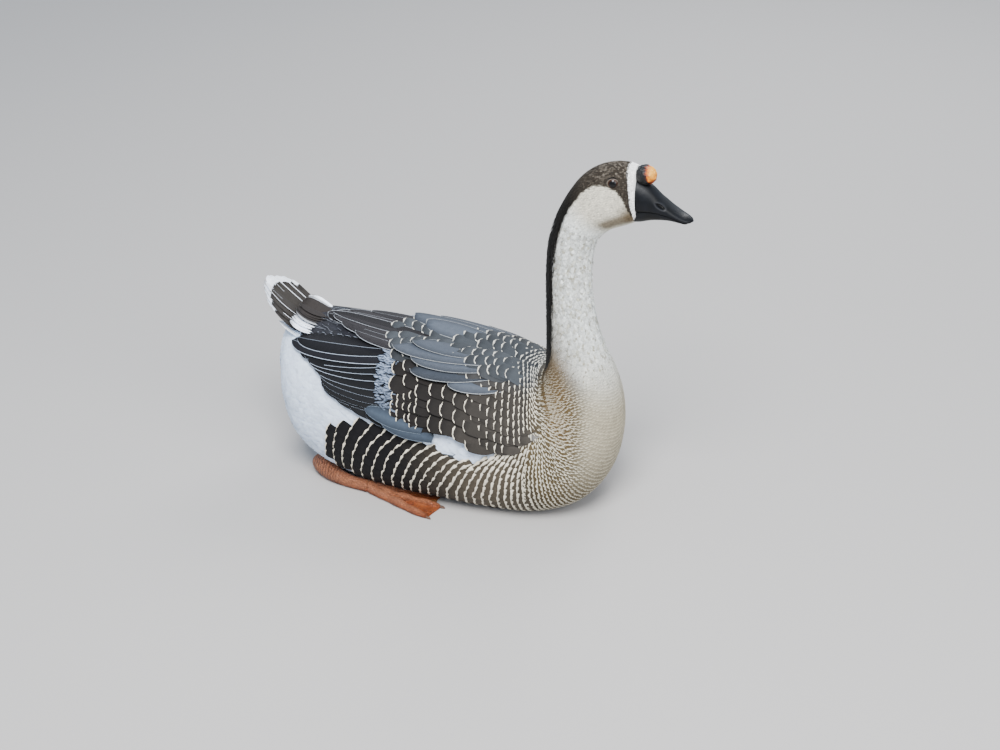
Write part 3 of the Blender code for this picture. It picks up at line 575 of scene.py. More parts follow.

# %% [markdown]
# ## Feathers as one mesh
# The bent feathers of a tract are joined in one mesh. Each gets its own small patch on the map that its
# colours can be baked to, at the place of its root on the ring map of the body, and the few large
# feathers of wings and tail get a square cell each. Its colours, sizes and marks go with its corners, for
# the finish to read.

# %% Feathers as one mesh
PATCH, CELL_FILLED = 0.0015, 0.46      # half the side of a feather's patch, on the map and in its cell
TIP_SHARE = 0.86      # a margin that only the tip has ends this far along


def vanes(name, cut, spots, outs, tract, finish, slot, *stands_for, camber=0.10, thick=0.0003, square=2.6,
          own_cells=False, sharp=True):
    """One mesh of many feathers. Spots and outs are each feather's line: feathers x steps x 3."""
    corners, faces = cut
    count, size, x, side = len(spots), len(corners), corners[:, 0], tract["side"][:, None]
    points, t, wide = bent(corners, spots, outs, tract, camber, thick, square)
    all_faces = (faces[None] + (np.arange(count) * size)[:, None, None]).reshape(-1, faces.shape[1])
    mesh = bpy.data.meshes.new(name)
    mesh.from_pydata(points.reshape(-1, 3), [], all_faces)
    loops = np.empty(len(mesh.loops), np.int32)
    mesh.loops.foreach_get("vertex_index", loops)
    if own_cells:
        n = math.ceil(math.sqrt(count))
        cell = np.stack([np.arange(count) % n, np.arange(count) // n], -1) + 0.5
        centres, patch = cell / n, CELL_FILLED / n
    else:
        centres = np.stack([tract["at"] / FACE, tract["side"] * tract["angle"] / 360 + 0.5], -1)
        centres, patch = centres * 0.99 + 0.005, PATCH
    places = centres[:, None] + np.stack([x, corners[:, 1]], -1)[None] * patch
    for layer, values in (("OFBake", places), ("Vane", np.stack([0.5 - 0.5 * x * side, t + 0 * side], -1))):
        values = values.reshape(-1, 2).astype(np.float32)[loops]
        mesh.uv_layers.new(name=layer).uv.foreach_set("vector", values.ravel())
    for layer in ("ground", "edge"):
        colour = np.concatenate([tract[layer], np.ones((count, 1))], 1)
        keep_on(mesh, layer, np.repeat(colour, size, 0), "FLOAT_COLOR")
    long_mm = tract["long_mm"][:, None]
    sizes = np.stack([(1 - t) * long_mm, wide * 1000, np.maximum(TIP_SHARE - t, 0) * long_mm], -1)
    keep_on(mesh, "sizes", sizes, "FLOAT_VECTOR")
    marks = np.stack([tract[kind] for kind in ("fringe", "rim", "bars")], -1)
    keep_on(mesh, "marks", np.repeat(marks, size, 0), "FLOAT_VECTOR")
    keep_on(mesh, "seed", np.repeat(tract["seed"], size))
    mesh.polygons.foreach_set("use_smooth", np.ones(len(mesh.polygons), bool))
    if sharp:
        margin = np.tile(np.maximum(abs(x), abs(corners[:, 1])) > MARGIN, count)
        ends = np.empty(len(mesh.edges) * 2, np.int32)
        mesh.edges.foreach_get("vertices", ends)
        keep_on(mesh, "sharp_edge", margin[ends.reshape(-1, 2)].all(1), "BOOLEAN", "EDGE")
    mesh.update()
    return show(name, mesh, finish, slot, *stands_for)


def tract_of(at, angle, side, ground, edge, long, half, fringe=0.0, rim=0.0, bars=0.0, roll=0.10, seed=1):
    """The values of each feather in a tract. A single value is the same for all."""
    values = {"long_mm": np.asarray(long) * 1000, "half": half, "fringe": fringe, "rim": rim, "bars": bars,
              "roll": roll}
    tract = {key: np.broadcast_to(np.asarray(value, float), len(at)) for key, value in values.items()}
    tone = np.random.default_rng(seed).random(len(at))
    return tract | {"at": at, "angle": angle, "side": side, "seed": tone, "ground": ground, "edge": edge}


print("half a feather's patch:", PATCH, "of the map's side")

# %% [markdown]
# ## Rows of feathers
# Feathers stand in rows across the body, each row a little ahead of the last, and most rows bend away
# from the rings. Where rings crowd together, as on the inside of the neck's curve, some feathers are left
# out. Each feather's line then runs forward from its tip, over the body or over what lifts it.

# %% Rows of feathers
def lines_on_body(at, angle, side, long, lie, low, high, bulk=lambda at, angle: 0.0, steps=7):
    """The line of each feather over the body, from its root to its tip at the given place. Lie is how far it
    turns up from straight back, in degrees, and bulk lifts the ground it lies on."""
    count = len(at)
    one, degree = reach(at, angle)
    t = np.linspace(0, 1, steps)[None]
    forward = (np.cos(np.radians(lie)) * long / one)[:, None] * (1 - t)
    down = (np.sin(np.radians(lie)) * long / degree)[:, None] * (1 - t)
    rings, turns = np.clip(at[:, None] + forward, 0, FACE), angle[:, None] + down
    spots, outs = surface(rings, turns * side[:, None])
    low, high = (np.broadcast_to(np.asarray(v, float), count)[:, None] for v in (low, high))
    return spots + outs * (bulk(rings, turns) + low + (high - low) * t)[..., None], outs


def rows(first, last, gap, spread, low, high, bend=lambda at, turn: 0 * turn, loose=0.10, side=1, seed=1):
    """Feather tips in rows across one side, from a first ring to a last one: ring, angle and lie. Gap is the
    metres between rows and spread between feathers in a row, low and high the angles where it starts and
    ends, and bend how many rings it departs from its own ring at each angle. All may depend on the ring."""
    draw = np.random.default_rng(seed)
    at, found = float(first), []
    while at < last:
        turn = np.linspace(low(at), high(at), 160)
        ring = np.clip(at + bend(at, turn), 0.02, FACE - 0.02)
        run = np.concatenate([[0], np.cumsum(np.linalg.norm(np.diff(spot_at(ring, turn), axis=0), axis=1))])
        n = max(2, int(round(run[-1] / spread(at))))
        place = np.clip((np.arange(n) + draw.random() + draw.normal(0, loose, n)) / n, 0, 1) * run[-1]
        here = np.interp(place, run, turn)
        one = reach(np.float64(min(at, FACE - 0.2)), np.float64(100))[0]
        slope = np.interp(here, turn, np.gradient(ring, turn))
        lie = -np.degrees(np.arctan(slope * one / reach(np.interp(here, turn, ring), here)[1]))
        ats = np.interp(here, turn, ring) + draw.normal(0, loose * 0.6, n) * gap(at) / one
        keep = draw.random(n) < np.clip(reach(ats, here)[0] / one / 0.55, 0.2, 1)
        ats = np.clip(ats, 0.02, FACE - 0.02)
        found.append(np.stack([ats, here, lie, np.full(n, float(side))], -1)[keep])
        at += gap(at) / one
    return np.concatenate(found)


def both_sides(*args, **kwargs):
    """The same rows on the right and the left, each with its own unevenness."""
    found = [rows(*args, side=sign, seed=seed, **kwargs) for sign, seed in ((1, 1), (-1, 2))]
    return np.concatenate(found).T


def steady(*table):
    """A value that changes smoothly with the ring, from pairs of ring and value."""
    return lambda at: np.interp(at, *zip(*table))


print("feathers in one ring of the breast:", len(rows(9, 9.1, steady((0, 0.006)), steady((0, 0.008)),
                                                     steady((0, 60)), steady((0, 170)))))

# %% [markdown]
# ## Wrapping a grid
# Skin, bill, tubes of the legs and the wings' cushions are all grids bent round into a closed form. An
# operator makes the grid, a function of two shares says where each corner goes, and operators close the
# seam and the ends and turn the faces outward.

# %% Wrapping a grid
SAME_SPOT = 2e-6      # metres, corners nearer than this are merged


def wrapped(name, columns, steps, place, colour=None):
    """A grid bent round into a tube by a function of two shares, closed along its seam and at its ends."""
    shape = bmesh.new()
    bmesh.ops.create_grid(shape, x_segments=columns, y_segments=steps, size=0.5)
    u, v = (np.array([vert.co for vert in shape.verts])[:, :2] + 0.5).T
    for vert, spot in zip(shape.verts, place(u, v)):
        vert.co = spot
    if colour:
        layer = shape.verts.layers.float_color.new("ground")
        for vert, value in zip(shape.verts, colour(u, v)):
            vert[layer] = (*value, 1.0)
    bmesh.ops.remove_doubles(shape, verts=shape.verts, dist=SAME_SPOT)
    bmesh.ops.holes_fill(shape, edges=[e for e in shape.edges if e.is_boundary])
    bmesh.ops.recalc_face_normals(shape, faces=shape.faces)
    if shape.calc_volume(signed=True) < 0:
        bmesh.ops.reverse_faces(shape, faces=shape.faces)
    return finished(shape, name)


print("corners nearer than", SAME_SPOT * 1e6, "microns are merged")

# %% [markdown]
# ## The skin
# Under the feathers lies one skin, without the cuts between the part's solids. It is a grid wrapped round
# the ring map and drawn in by the depth of the coat: 4 mm on the body, 2 mm on the neck and 1 mm on the
# face. A remesh of the solids would close the cuts too, but the wrapped grid keeps the map, so that the
# markings fall where they should. It is closed over the rump and behind the bill.

# %% Skin
coat_depth = steady((0, 0.003), (3, 0.004), (12, 0.004), (15, 0.0022), (20, 0.0018), (22, 0.0010),
                    (FACE, 0.0008))


def skin_place(u, v):
    spots, outs = surface(u * FACE, v * 360 - 180)
    return spots - outs * coat_depth(u * FACE)[:, None]


skin = wrapped("skin", 270, 96, skin_place, lambda u, v: plumage(u * FACE, v * 360 - 180))
under_down, place = new_finish("Skin under down")
down = add_node(under_down, "TexNoise", {"Vector": place, "Scale": 500.0, "Detail": 3.0}, out="Fac")
shade = add_node(under_down, "Math", {0: down, 1: 0.3, 2: 0.75}, operation="MULTIPLY_ADD")
tone = add_node(under_down, "Attribute", out="Color", attribute_name="ground")
tone = add_node(under_down, "VectorMath", {0: tone, "Scale": shade}, operation="SCALE")
lay_on(under_down, {"Base Color": tone, "Roughness": 0.9})
show("skin", skin, under_down, "breast_feathers", "torso", "neck_lower", "neck_upper", "head")

# %% [markdown]
# ## Bars of flank and breast
# On the flank the rows stand 15 mm apart and the cream tips of neighbours line up into the curved bars
# that mark this bird: nearly upright behind and leaning forward at their tops further on. How far apart
# the rows stand and how they bend change smoothly with the ring.

# %% Bars of flank and breast
row_gap = steady((0, .008), (2, .010), (3.3, .013), (3.7, .0155), (5, .0150), (6, .0130), (7, .0100),
                 (8, .0085), (8.6, .0065), (9.2, .0048), (10, .0042), (12, .0038), (14.3, .0034))
bar_lean = steady((0, 0.1), (3.4, 0.15), (3.7, 0.28), (4.3, 0.5), (5.4, 0.68), (6.2, 1.0), (6.6, 1.0),
                  (7.2, 0.78), (8.1, 0.5), (8.9, 0.38), (10.2, 0.33), (10.9, 0.15), (11.5, 0.0), (12.2, -0.2),
                  (12.9, -0.22), (14.3, 0.0))


def bar_bend(at, turn):
    """How the bars of breast and flank depart from the rings."""
    return bar_lean(at) * np.interp(turn, (0, 45, 60, 75, 85, 95, 110, 130, 180),
                                    (1.2, 1.9, 1.8, 1.0, 0.42, 0.0, -0.30, -0.45, -0.5))


def dressed(at, angle, side):
    """Ground, edge and fringe of the feathers of breast and flank by their place. No feather is half dark."""
    flank = flank_share(at, angle)
    flank = np.where(at < 8.0, (flank > 0.5) * 1.0, flank)
    ground = plumage(at, side * angle, flank)
    low_breast = soft(at, 7.0, 8.2) * soft(angle, 112, 128)
    breast = np.maximum(soft(at, 8.0, 9.2) * (1 - soft(at, 12.8, 14.6)), low_breast)
    stripe = np.interp(at, *zip(*CAP_EDGE))
    breast = breast * np.where(at > 11.8, soft(angle, stripe, stripe + 10), 1)
    calm = 1 - 0.65 * soft(at, 9.2, 11.5) * soft(angle, 90, 130) - 0.35 * soft(at, 10.5, 13.0)
    edge = tinted(tinted(ground, FLANK_EDGE, (flank > 0.35) * 1.0), BUFF_EDGE, breast * calm)
    edge = tinted(edge, TAN, 0.35 * soft(at, 10.0, 11.4) * (1 - soft(angle, 56, 112)))
    fringe = np.where(flank > 0.35, np.interp(at, (3.5, 6, 7.5, 8.6), (2.2, 3.3, 4.0, 3.4)), 0.0)
    fringe = np.where(breast > 0.3, row_gap(at) * 1000 * 0.55, fringe)
    return ground, edge, fringe, 0.4 * breast * calm


def is_white(at, angle):
    """Whether a feather belongs to the white of vent and belly."""
    return (flank_share(at, angle) <= 0.5) & (at + np.interp(angle, (60, 100, 130), (0, 1.2, 3.4)) < 8.2)


print("rows on the flank stand", round(float(row_gap(4)) * 1000), "mm apart, on the breast",
      round(float(row_gap(11)) * 1000))

# %% [markdown]
# ## Flank
# The flank's feathers are the longest on the body itself, up to 36 mm, with square tips. They are laid in
# rows from the tail forward, and each shows a cream margin at its tip.

# %% Flank
at, angle, lie, side = both_sides(
    3.26, 8.9, row_gap, steady((0, .009), (2, .011), (3.5, .0135), (7, .0125), (9, .0095)),
    steady((2.9, 52), (5.6, 62), (8.0, 60), (8.4, 48), (9.4, 42)), steady((0, 179)), bar_bend, loose=0.03)
barred_ones = ~is_white(at, angle)
at, angle, lie, side = (v[barred_ones] for v in (at, angle, lie, side))
ground, edge, fringe, bars = dressed(at, angle, side)
draw = np.random.default_rng(5)
fringe = fringe * draw.uniform(0.8, 1.2, len(at))
long = np.interp(at, (3, 4, 5, 8, 10), (28, 32, 36, 27, 17)) / 1000
half = np.interp(at, (3, 4, 5, 8, 10), (10.5, 11, 11, 9.5, 6.5)) / 1000
flank = tract_of(at, angle, side, ground, edge, long, half, fringe, 0.0, bars, 0.10)
calm = 1 - soft(angle, 140, 175)
raised = np.interp(at, (3.4, 4, 7.5, 8.3, 9), (1.2, 1.4, 1.4, 2.6, 1.6)) / 1000
spots, outs = lines_on_body(at, angle, side, long, (4 + np.clip(lie, -40, 60)) * calm, -coat_depth(at) * 0.6,
                            raised)
vanes("flank_feathers", PLUME, spots, outs, flank, contour, "breast_feathers", square=10.0)

# %% [markdown]
# ## Vent and belly
# The white feathers of vent and belly have no bars. They are smaller, rounder and laid more loosely, so
# that no row shows between them.

# %% Vent and belly
at, angle, lie, side = both_sides(
    0.12, 8.3, steady((0, .0060), (3, .0070), (8, .0075)), steady((0, .0055), (8, .0065)),
    steady((0, 0), (2.4, 0), (3.4, 50), (5.6, 60), (8.3, 58)), steady((0, 179)), loose=0.4)
white = is_white(at, angle)
at, angle, side = at[white], angle[white], side[white]
draw = np.random.default_rng(25)
count = len(at)
ground = plumage(at, side * angle, 0.0 * at) * draw.normal(1, 0.03, count)[:, None]
long = np.interp(at, (0, 3, 8), (15, 24, 20)) / 1000 * draw.uniform(0.8, 1.2, count)
vent = tract_of(at, angle, side, ground, ground, long, draw.uniform(0.0044, 0.0060, count), roll=0.0)
spots, outs = lines_on_body(at, angle, side, long, draw.normal(6, 7, count), -coat_depth(at) * 0.5,
                            draw.uniform(0.0002, 0.0007, count), steps=5)
vanes("vent_feathers", LEAF, spots, outs, vent, velvet, "breast_feathers", camber=0.08, square=2.2)

# %% [markdown]
# ## End of the rump
# The rings stop at the rump's end, so the feathers there stand in rings of their own round its middle and
# point outward, like petals. The last rings reach over its edge, except under the tail.

# %% End of the rump
PETALS, TAIL_FREE = 56, 42      # feathers in a full ring, and the degrees beside the top left to the tail
share = np.repeat(np.arange(-0.19, 1.10, 0.07), PETALS)
share = share[np.arange(len(share)) % PETALS < np.maximum(7, 6 + 46 * share)]
angle, t = draw.uniform(-180, 180, len(share)), np.linspace(0, 1, 5)
clear = (share < 0.75) | (np.abs(angle) > TAIL_FREE)
share, angle = share[clear], angle[clear]
count = len(share)
middle = spot_at(np.zeros(72), np.linspace(-180, 180, 72)).mean(0)
rim, out = spot_at(np.zeros(count), angle), np.array((-0.99, 0, -0.10))
outward = share[:, None] + 0.50 * (1 - t)      # 0 at the middle, 1 on the edge
spots = middle + (rim - middle)[:, None] * outward[..., None]
spots[..., 0] += 0.050 * np.maximum(outward - 1, 0)
spots += out * (0.0045 * np.clip(1.35 - outward**2, 0, 1) + 0.0012 * t)[..., None]
white = plain(WHITE, count) * draw.normal(1, 0.03, (count, 1))
rump_end = tract_of(0.1 + 0 * angle, np.abs(angle), np.where(angle > 0, 1.0, -1.0), white, white, 0.020,
                    draw.uniform(0.0048, 0.0066, count), roll=0.0)
vanes("rump_end_feathers", LEAF, spots, np.tile(out, (count, 5, 1)), rump_end, velvet, "breast_feathers",
      camber=0.08, square=2.2)

# %% [markdown]
# ## Breast
# On the breast the rows close up to 4 mm. Each feather has a pale margin round a darker middle, and the
# rows draw the fine lines that fan out from the bend of the wing and sweep down and forward. The lines
# fade toward the neck, and the feathers beside the wing lie over its front edge.

# %% Breast
at, angle, lie, side = both_sides(
    8.8, 14.4, row_gap, steady((8, .0075), (10, .0062), (14, .0048)),
    steady((8, 45), (9.3, 40), (9.8, 0), (15, 0)), steady((0, 181)), bar_bend, loose=0.11)
ground, edge, fringe, bars = dressed(at, angle, side)
fringe = fringe * np.random.default_rng(15).uniform(0.8, 1.15, len(at))
long = np.interp(at, (8, 10, 14), (22, 15, 11)) / 1000
half = np.interp(at, (8, 10, 14), (6.4, 5.2, 3.8)) / 1000
breast = tract_of(at, angle, side, ground, edge, long, half, fringe, 0.0, bars, 0.10, seed=2)
raised = np.interp(at, (8.8, 9.3, 10.2), (2.2, 1.4, 0.6)) / 1000
raised += 0.0026 * soft(at, 9.5, 9.9) * (1 - soft(at, 10.5, 11.3)) * (1 - soft(angle, 50, 64))
spots, outs = lines_on_body(at, angle, side, long, 0.9 * np.clip(lie, -50, 60), -coat_depth(at) * 0.6, raised,
                            steps=5)
vanes("breast_feathers", LEAF, spots, outs, breast, contour, "breast_feathers", square=4.0)

# %% [markdown]
# ## Neck
# A goose's neck feathers are short and narrow, and stand in furrows that run down the neck a little
# aslant. The furrows come from the feathers' height, which swells and sinks round the neck, and each
# ridge catches the light; the ridges are also painted lighter and the furrows darker, as painted light
# and shade. About a third of the feathers have a brownish streak, which gives the cream
# neck its fine grain.

# %% Neck
at, angle, lie, side = both_sides(13.9, 20.9, steady((0, .0034)), steady((0, .0026)), steady((0, 0)),
                                  steady((0, 180)), loose=0.25)
furrow = np.sin(np.radians(angle) * 20 + at * 2.4 + 0.8 * np.sin(at * 3 + angle * 0.03))
ridge = soft(at, 14.6, 16.5) * (1 - soft(at, 20.2, 21.2)) * soft(angle, 20, 60)
draw = np.random.default_rng(6)
count = len(at)
# painted light and shade: the ridges of the furrows are painted up to a tenth lighter, the furrows a tenth
# darker
ground = plumage(at, side * angle) * (1 + 0.10 * furrow * ridge)[:, None]
ground *= draw.normal(1, 0.13, count)[:, None]
streak = (draw.random(count) < 0.30) * draw.uniform(0.2, 1.0, count) * soft(angle, 46, 66)
ground *= 1 - streak[:, None] * (0.42, 0.46, 0.56)
long = np.interp(at, (13.7, 16, 21), (11, 8, 6)) / 1000
neck = tract_of(at, angle, side, ground, tinted(ground, BAND, 0.35 * soft(angle, 50, 70)), long, 0.0021, 0.7)
spots, outs = lines_on_body(at, angle, side, long, draw.normal(0, 8, count), -0.0016,
                            0.0003 + 0.0008 * furrow * ridge + draw.normal(0, 0.0002, count), steps=4)
vanes("neck_feathers", LEAF, spots, outs, neck, contour, "neck_feathers", camber=0.20)

# %% [markdown]
# ## Head
# The head's feathers are the smallest on the bird, a velvet of tufts 3 mm long that lie flat toward the
# nape. The crown is brown with pale specks in front, and the cheeks nearly white. They stop at the
# eyelids, and the last of them draw the white band round the bill's foot.

# %% Head
EYE_AT = Vector((0.1841, 0.0170, 0.4443))
EYE_SIZE, EYE_FREE = 0.0078, 0.0086      # the ball's radius, and how near to its middle a tuft may be
at, angle, lie, side = both_sides(20.4, 26.97, steady((0, .0017)), steady((0, .0016)), steady((0, 0)),
                                  steady((0, 180)), loose=0.28)
centre = np.stack([0 * at + EYE_AT.x, -side * EYE_AT.y, 0 * at + EYE_AT.z], -1)
root = np.minimum(at + 0.0035 / reach(at, angle)[0], FACE)
keep = np.minimum(np.linalg.norm(spot_at(at, angle * side) - centre, axis=1),
                  np.linalg.norm(spot_at(root, angle * side) - centre, axis=1)) > EYE_FREE
at, angle, side = at[keep], angle[keep], side[keep]
draw = np.random.default_rng(7)
count = len(at)
ground = plumage(at, side * angle) * draw.normal(1, 0.10, count)[:, None]
crown = (np.interp(at, *zip(*CAP_EDGE)) > angle + 4) * soft(at, 22.2, 24.6) * (at < 26.1)
specks = crown * (1 - 0.7 * soft(angle, 34, 52)) * (draw.random(count) < 0.5)
specks = specks * draw.uniform(0.05, 0.45, count)
ground = tinted(ground, CAP_PALE, specks)
ground *= np.where(crown > 0.3, draw.normal(1, 0.10, count), 1)[:, None].clip(0.5, 1.5)
long = np.interp(at, (20.4, 23, 25.5, 27), (5.2, 3.8, 3.0, 2.2)) / 1000
head = tract_of(at, angle, side, ground, ground, long, 0.0012)
spots, outs = lines_on_body(at, angle, side, long, draw.normal(0, 9, count), -0.0009, 0.0003, steps=4)
vanes("head_feathers", TUFT, spots, outs, head, velvet, "head_feathers", camber=0.30)

# %% [markdown]
# ## Folded wings
# A folded wing is a stack of tiers, each lying over the roots of the one behind it: dark flight feathers
# with thin white rims, a band of pale down at their roots, barred coverts, and long smooth shoulder
# feathers on top. The wing's own bulk lifts them. It is a cushion here, highest in the middle of the
# wing, thin at the shoulder, where the breast feathers cover its edge, and it ends in an overhang below.

# %% Wing cushions
def wing_bulk(at, angle):
    """How high the folded wing lifts its feathers off the body."""
    along = soft(at, 2.0, 5.2) * (1 - soft(at, 7.6, 9.9))
    return 0.0006 + 0.0072 * along * (0.3 + 0.7 * soft(angle, 0, 22)) * (1 - 0.5 * soft(angle, 50, 74))


def wing_cushion(side):
    """The wing's bulk as a closed form, with its inner side a little inside the body."""
    edges = np.array(((9.45, 12, 46), (9.0, 7, 62), (8.0, 6, 68), (7.0, 6, 68), (6.0, 6, 68), (5.2, 7, 62),
                      (4.7, 10, 56)), float)      # ring, degrees at the top and at the bottom

    def place(u, v):
        at, top, low = np.moveaxis(between(edges, u * (len(edges) - 1)), -1, 0)
        share = np.interp(v, (0, 0.05, 0.5, 0.55, 1), (0, 0, 1, 1, 0))
        over = np.interp(v, (0, 0.05, 0.5, 0.55, 1), (0, 1, 1, 0, 0))
        angle = top + (low - top) * share
        spots, outs = surface(at, side * angle)
        return spots + outs * (-0.003 + over * (wing_bulk(at, angle) + 0.0012))[:, None]

    return wrapped("wing_cushion", 40, 60, place)


wing_down, place = new_finish("Down under the wing")
tuft = add_node(wing_down, "TexNoise", {"Vector": place, "Scale": 400.0, "Detail": 3.0}, out="Fac")
tone = colour_stops(add_node(wing_down, "ValToRGB", {"Fac": tuft}), ((0.3, "#242120"), (0.7, COVERT)))
lay_on(wing_down, {"Base Color": tone, "Roughness": 0.9})
for word, side in (("right", 1), ("left", -1)):
    show("wing_cushion_" + word, wing_cushion(side), wing_down, "wing_feathers")

# %% [markdown]
# ## Tiers of long feathers
# The flight feathers, the inner ones that cover them, and the shoulder feathers are few and large, so
# each tier is two curves on the ring map, one for its roots and one for its tips, with the feathers
# spread evenly between. The topmost flight feather is the broadest, and every one below shows its white
# rim and shaft.

# %% Tiers of long feathers
def tier(name, roots, tips, count, half, low, high, ground, edge, *stands_for, fringe=0.0, rim=0.0, roll=0.14,
         seed=1, sizes=((0, 1), (1, 1)), square=2.8, uneven=1.0):
    """Wing feathers on both sides. Roots and tips are (ring, angle) from the top down."""
    draw = np.random.default_rng(seed)
    share = np.linspace(0, 1, count)
    first, last = (between(ends, share * (len(ends) - 1)) for ends in (roots, tips))
    at, angle, side, lines, normals = [], [], [], [], []
    for sign in (1, -1):
        ends = last + draw.normal(0, 1, (count, 2)) * np.array([0.035, 0.45]) * uneven
        t = np.linspace(0, 1, 9)[None, :, None]
        run = first[:, None] * (1 - t) + ends[:, None] * t
        spots, outs = surface(run[..., 0], run[..., 1] * sign)
        lift = wing_bulk(run[..., 0], run[..., 1]) + low + (high - low) * t[..., 0]
        lines.append(spots + outs * (lift + draw.normal(0, 0.0002, (count, 1)) * uneven)[..., None])
        normals.append(outs)
        at, angle = at + list(first[:, 0]), angle + list(first[:, 1])
        side += [float(sign)] * count
    lines, normals = np.concatenate(lines), np.concatenate(normals)
    long = np.linalg.norm(np.diff(lines, axis=1), axis=-1).sum(1)
    grown = np.tile(np.interp(share, *zip(*sizes)), 2)
    if not isinstance(rim, float):
        rim = np.tile(np.interp(share, *zip(*rim)), 2) * draw.uniform(0.5, 1.2, len(at))
    colour = plain(ground, len(at)) * draw.normal(1, 0.16, (len(at), 1)).clip(0.6, 1.4)
    tract = tract_of(np.array(at), np.array(angle), np.array(side), colour, plain(edge, len(at)), long,
                     half * grown, fringe, rim, 0.0, roll, seed)
    return vanes(name, QUILL, lines, normals, tract, quills, "wing_feathers", *stands_for, own_cells=True,
                 square=square, thick=0.0005)


tier("flight_feathers", ((5.6, 60), (5.7, 66), (5.9, 70)), ((3.20, 60), (3.75, 63), (4.4, 66)), 4, 0.0100,
     -0.0040, 0.0012, FLIGHT, FLIGHT_RIM, "wing_right", "wing_left", rim=0.06, roll=0.16, seed=10, square=3.6)
tier("flight_feathers_upper", ((5.2, 27), (5.3, 38), (5.5, 50), (5.6, 58)),
     ((2.05, 43.0), (2.45, 46.0), (2.85, 51), (3.05, 57)), 7, 0.0125, -0.0030, 0.0022, FLIGHT, FLIGHT_RIM,
     rim=((0, 0.36), (0.5, 0.18), (1, 0.06)), roll=0.16, seed=11, sizes=((0, 1.1), (1, 0.95)), square=3.6)
tier("flight_feather_top", ((5.2, 19), (5.3, 25)), ((1.75, 34), (1.50, 38.5)), 2, 0.0165, -0.0020, 0.0042,
     FLIGHT_TOP, FLIGHT_RIM, fringe=0.4, rim=0.35, roll=0.10, seed=12, square=3.0, uneven=0.2)
tier("tertials", ((5.6, 0), (5.6, 9), (5.6, 18)), ((2.45, -2), (2.8, 6), (3.5, 14)), 4, 0.0150, -0.0010,
     0.0050, TERTIAL, TERTIAL_EDGE, fringe=0.8, rim=0.2, roll=0.16, seed=13, square=3.0)

# %% [markdown]
# ## Down at the flight feathers' roots
# Behind the last bar of the coverts, loose pale bluish down breaks out over the roots of the flight
# feathers. It is laid as narrow, wispy tufts of uneven length.

# %% Down band
at, angle, lie, side = both_sides(
    4.45, 4.95, steady((0, .0034)), steady((0, .0038)), steady((0, 21)), steady((4, 57), (5, 62)),
    lambda at, turn: np.interp(turn, (18, 40, 70), (0, 0, .3)), loose=0.5)
draw = np.random.default_rng(9)
count = len(at)
pale = plain(DOWN, count) * draw.normal(1, 0.15, (count, 1))
pale *= (1 - 0.45 * soft(angle, 40, 64))[:, None]
long = draw.uniform(0.006, 0.017, count)
wisps = tract_of(at, angle, side, pale, pale, long, draw.uniform(0.0012, 0.0026, count), roll=0.0)
spots, outs = lines_on_body(at, angle, side, long, draw.normal(-4, 16, count), 0.0012, 0.0040, wing_bulk, 5)
vanes("down_band", LEAF, spots, outs, wisps, velvet, "wing_feathers", camber=0.3, square=1.6, sharp=False)

# %% [markdown]
# ## Barred coverts
# The coverts are broad feathers in rows, each with a cream margin round its tip only. Tip beside tip,
# they draw upright bars from the last row forward, 18 mm apart at first. Smaller ones fill the last rows.

# %% Barred coverts
def wing_bend(at, turn):
    """How the bars of the wing depart from the rings."""
    return np.interp(turn, (0, 10, 20, 35, 50, 75), (-0.75, -0.55, -0.30, -0.08, 0.0, 0.12))


COVERT_LONG, COVERT_HALF = 0.046, 0.0150      # metres
small = both_sides(5.0, 5.75, steady((0, .0085)), steady((0, .0105)), steady((0, 46)),
                   steady((5, 64), (5.5, 70)), wing_bend, loose=0.16)
large = both_sides(4.95, 8.5, steady((4, .0185), (6, .0180), (7.2, .0150), (8.5, .0120)), steady((0, .0190)),
                   steady((0, 2)), steady((5, 46), (5.7, 47), (5.8, 70), (7.1, 71), (7.15, 25), (8.5, 24)),
                   wing_bend, loose=0.06)
at, angle, lie, side = np.concatenate([small, large], 1)
draw = np.random.default_rng(16)
count = len(at)
scale = np.concatenate([np.full(small.shape[1], 0.55), np.full(large.shape[1], 1.0)])
ground = tinted(plain(COVERT, count), SHOULDER, 0.6 * soft(at, 5.6, 7.4))
ground = tinted(ground, MANTLE, 1 - soft(angle, 16, 32)) * draw.normal(1, .1, (count, 1))
edge = tinted(plain(COVERT_EDGE, count), MANTLE_EDGE, 1 - soft(angle, 14, 34))
coverts = tract_of(at, angle, side, ground, edge, COVERT_LONG * scale, COVERT_HALF * scale,
                   draw.uniform(1.7, 2.6, count) * scale**0.4, 0.0, 0.12, 0.13, seed=16)
spots, outs = lines_on_body(at, angle, side, COVERT_LONG * scale, draw.normal(4, 3, count), -0.0005, 0.0030,
                            wing_bulk, 9)
vanes("wing_coverts", QUILL, spots, outs, coverts, barred, "wing_feathers", square=6.0, camber=0.12,
      thick=0.0005)

# %% [markdown]
# ## Shoulder
# Over the shoulder the feathers shrink and the bars close up to 4 mm, until they run into the fine lines
# of the breast.

# %% Shoulder
at, angle, lie, side = both_sides(
    7.15, 10.2, steady((7, .0115), (8, .0100), (9, .0075), (9.6, .0048), (10, .0042)),
    steady((7, .0145), (8.5, .0100), (10, .0065)), steady((7, 25), (8.45, 24), (8.5, 1)),
    steady((7, 72), (8.2, 70), (8.8, 62), (9.9, 52), (10.2, 44)), wing_bend, loose=0.05)
draw = np.random.default_rng(17)
count = len(at)
ground = tinted(plain(COVERT, count), SHOULDER, 0.6 + 0.4 * soft(at, 7.2, 9.0))
ground = tinted(ground, MANTLE, 1 - soft(angle, 14, 34)) * draw.normal(1, .08, (count, 1))
ground = tinted(ground, BUFF, 0.6 * soft(at, 8.9, 9.7))
edge = tinted(plain(COVERT_EDGE, count), MANTLE_EDGE, 1 - soft(angle, 14, 34))
long = np.interp(at, (7, 8.5, 10), (34, 24, 15)) / 1000
half = np.interp(at, (7, 8.5, 10), (10.5, 8, 5)) / 1000
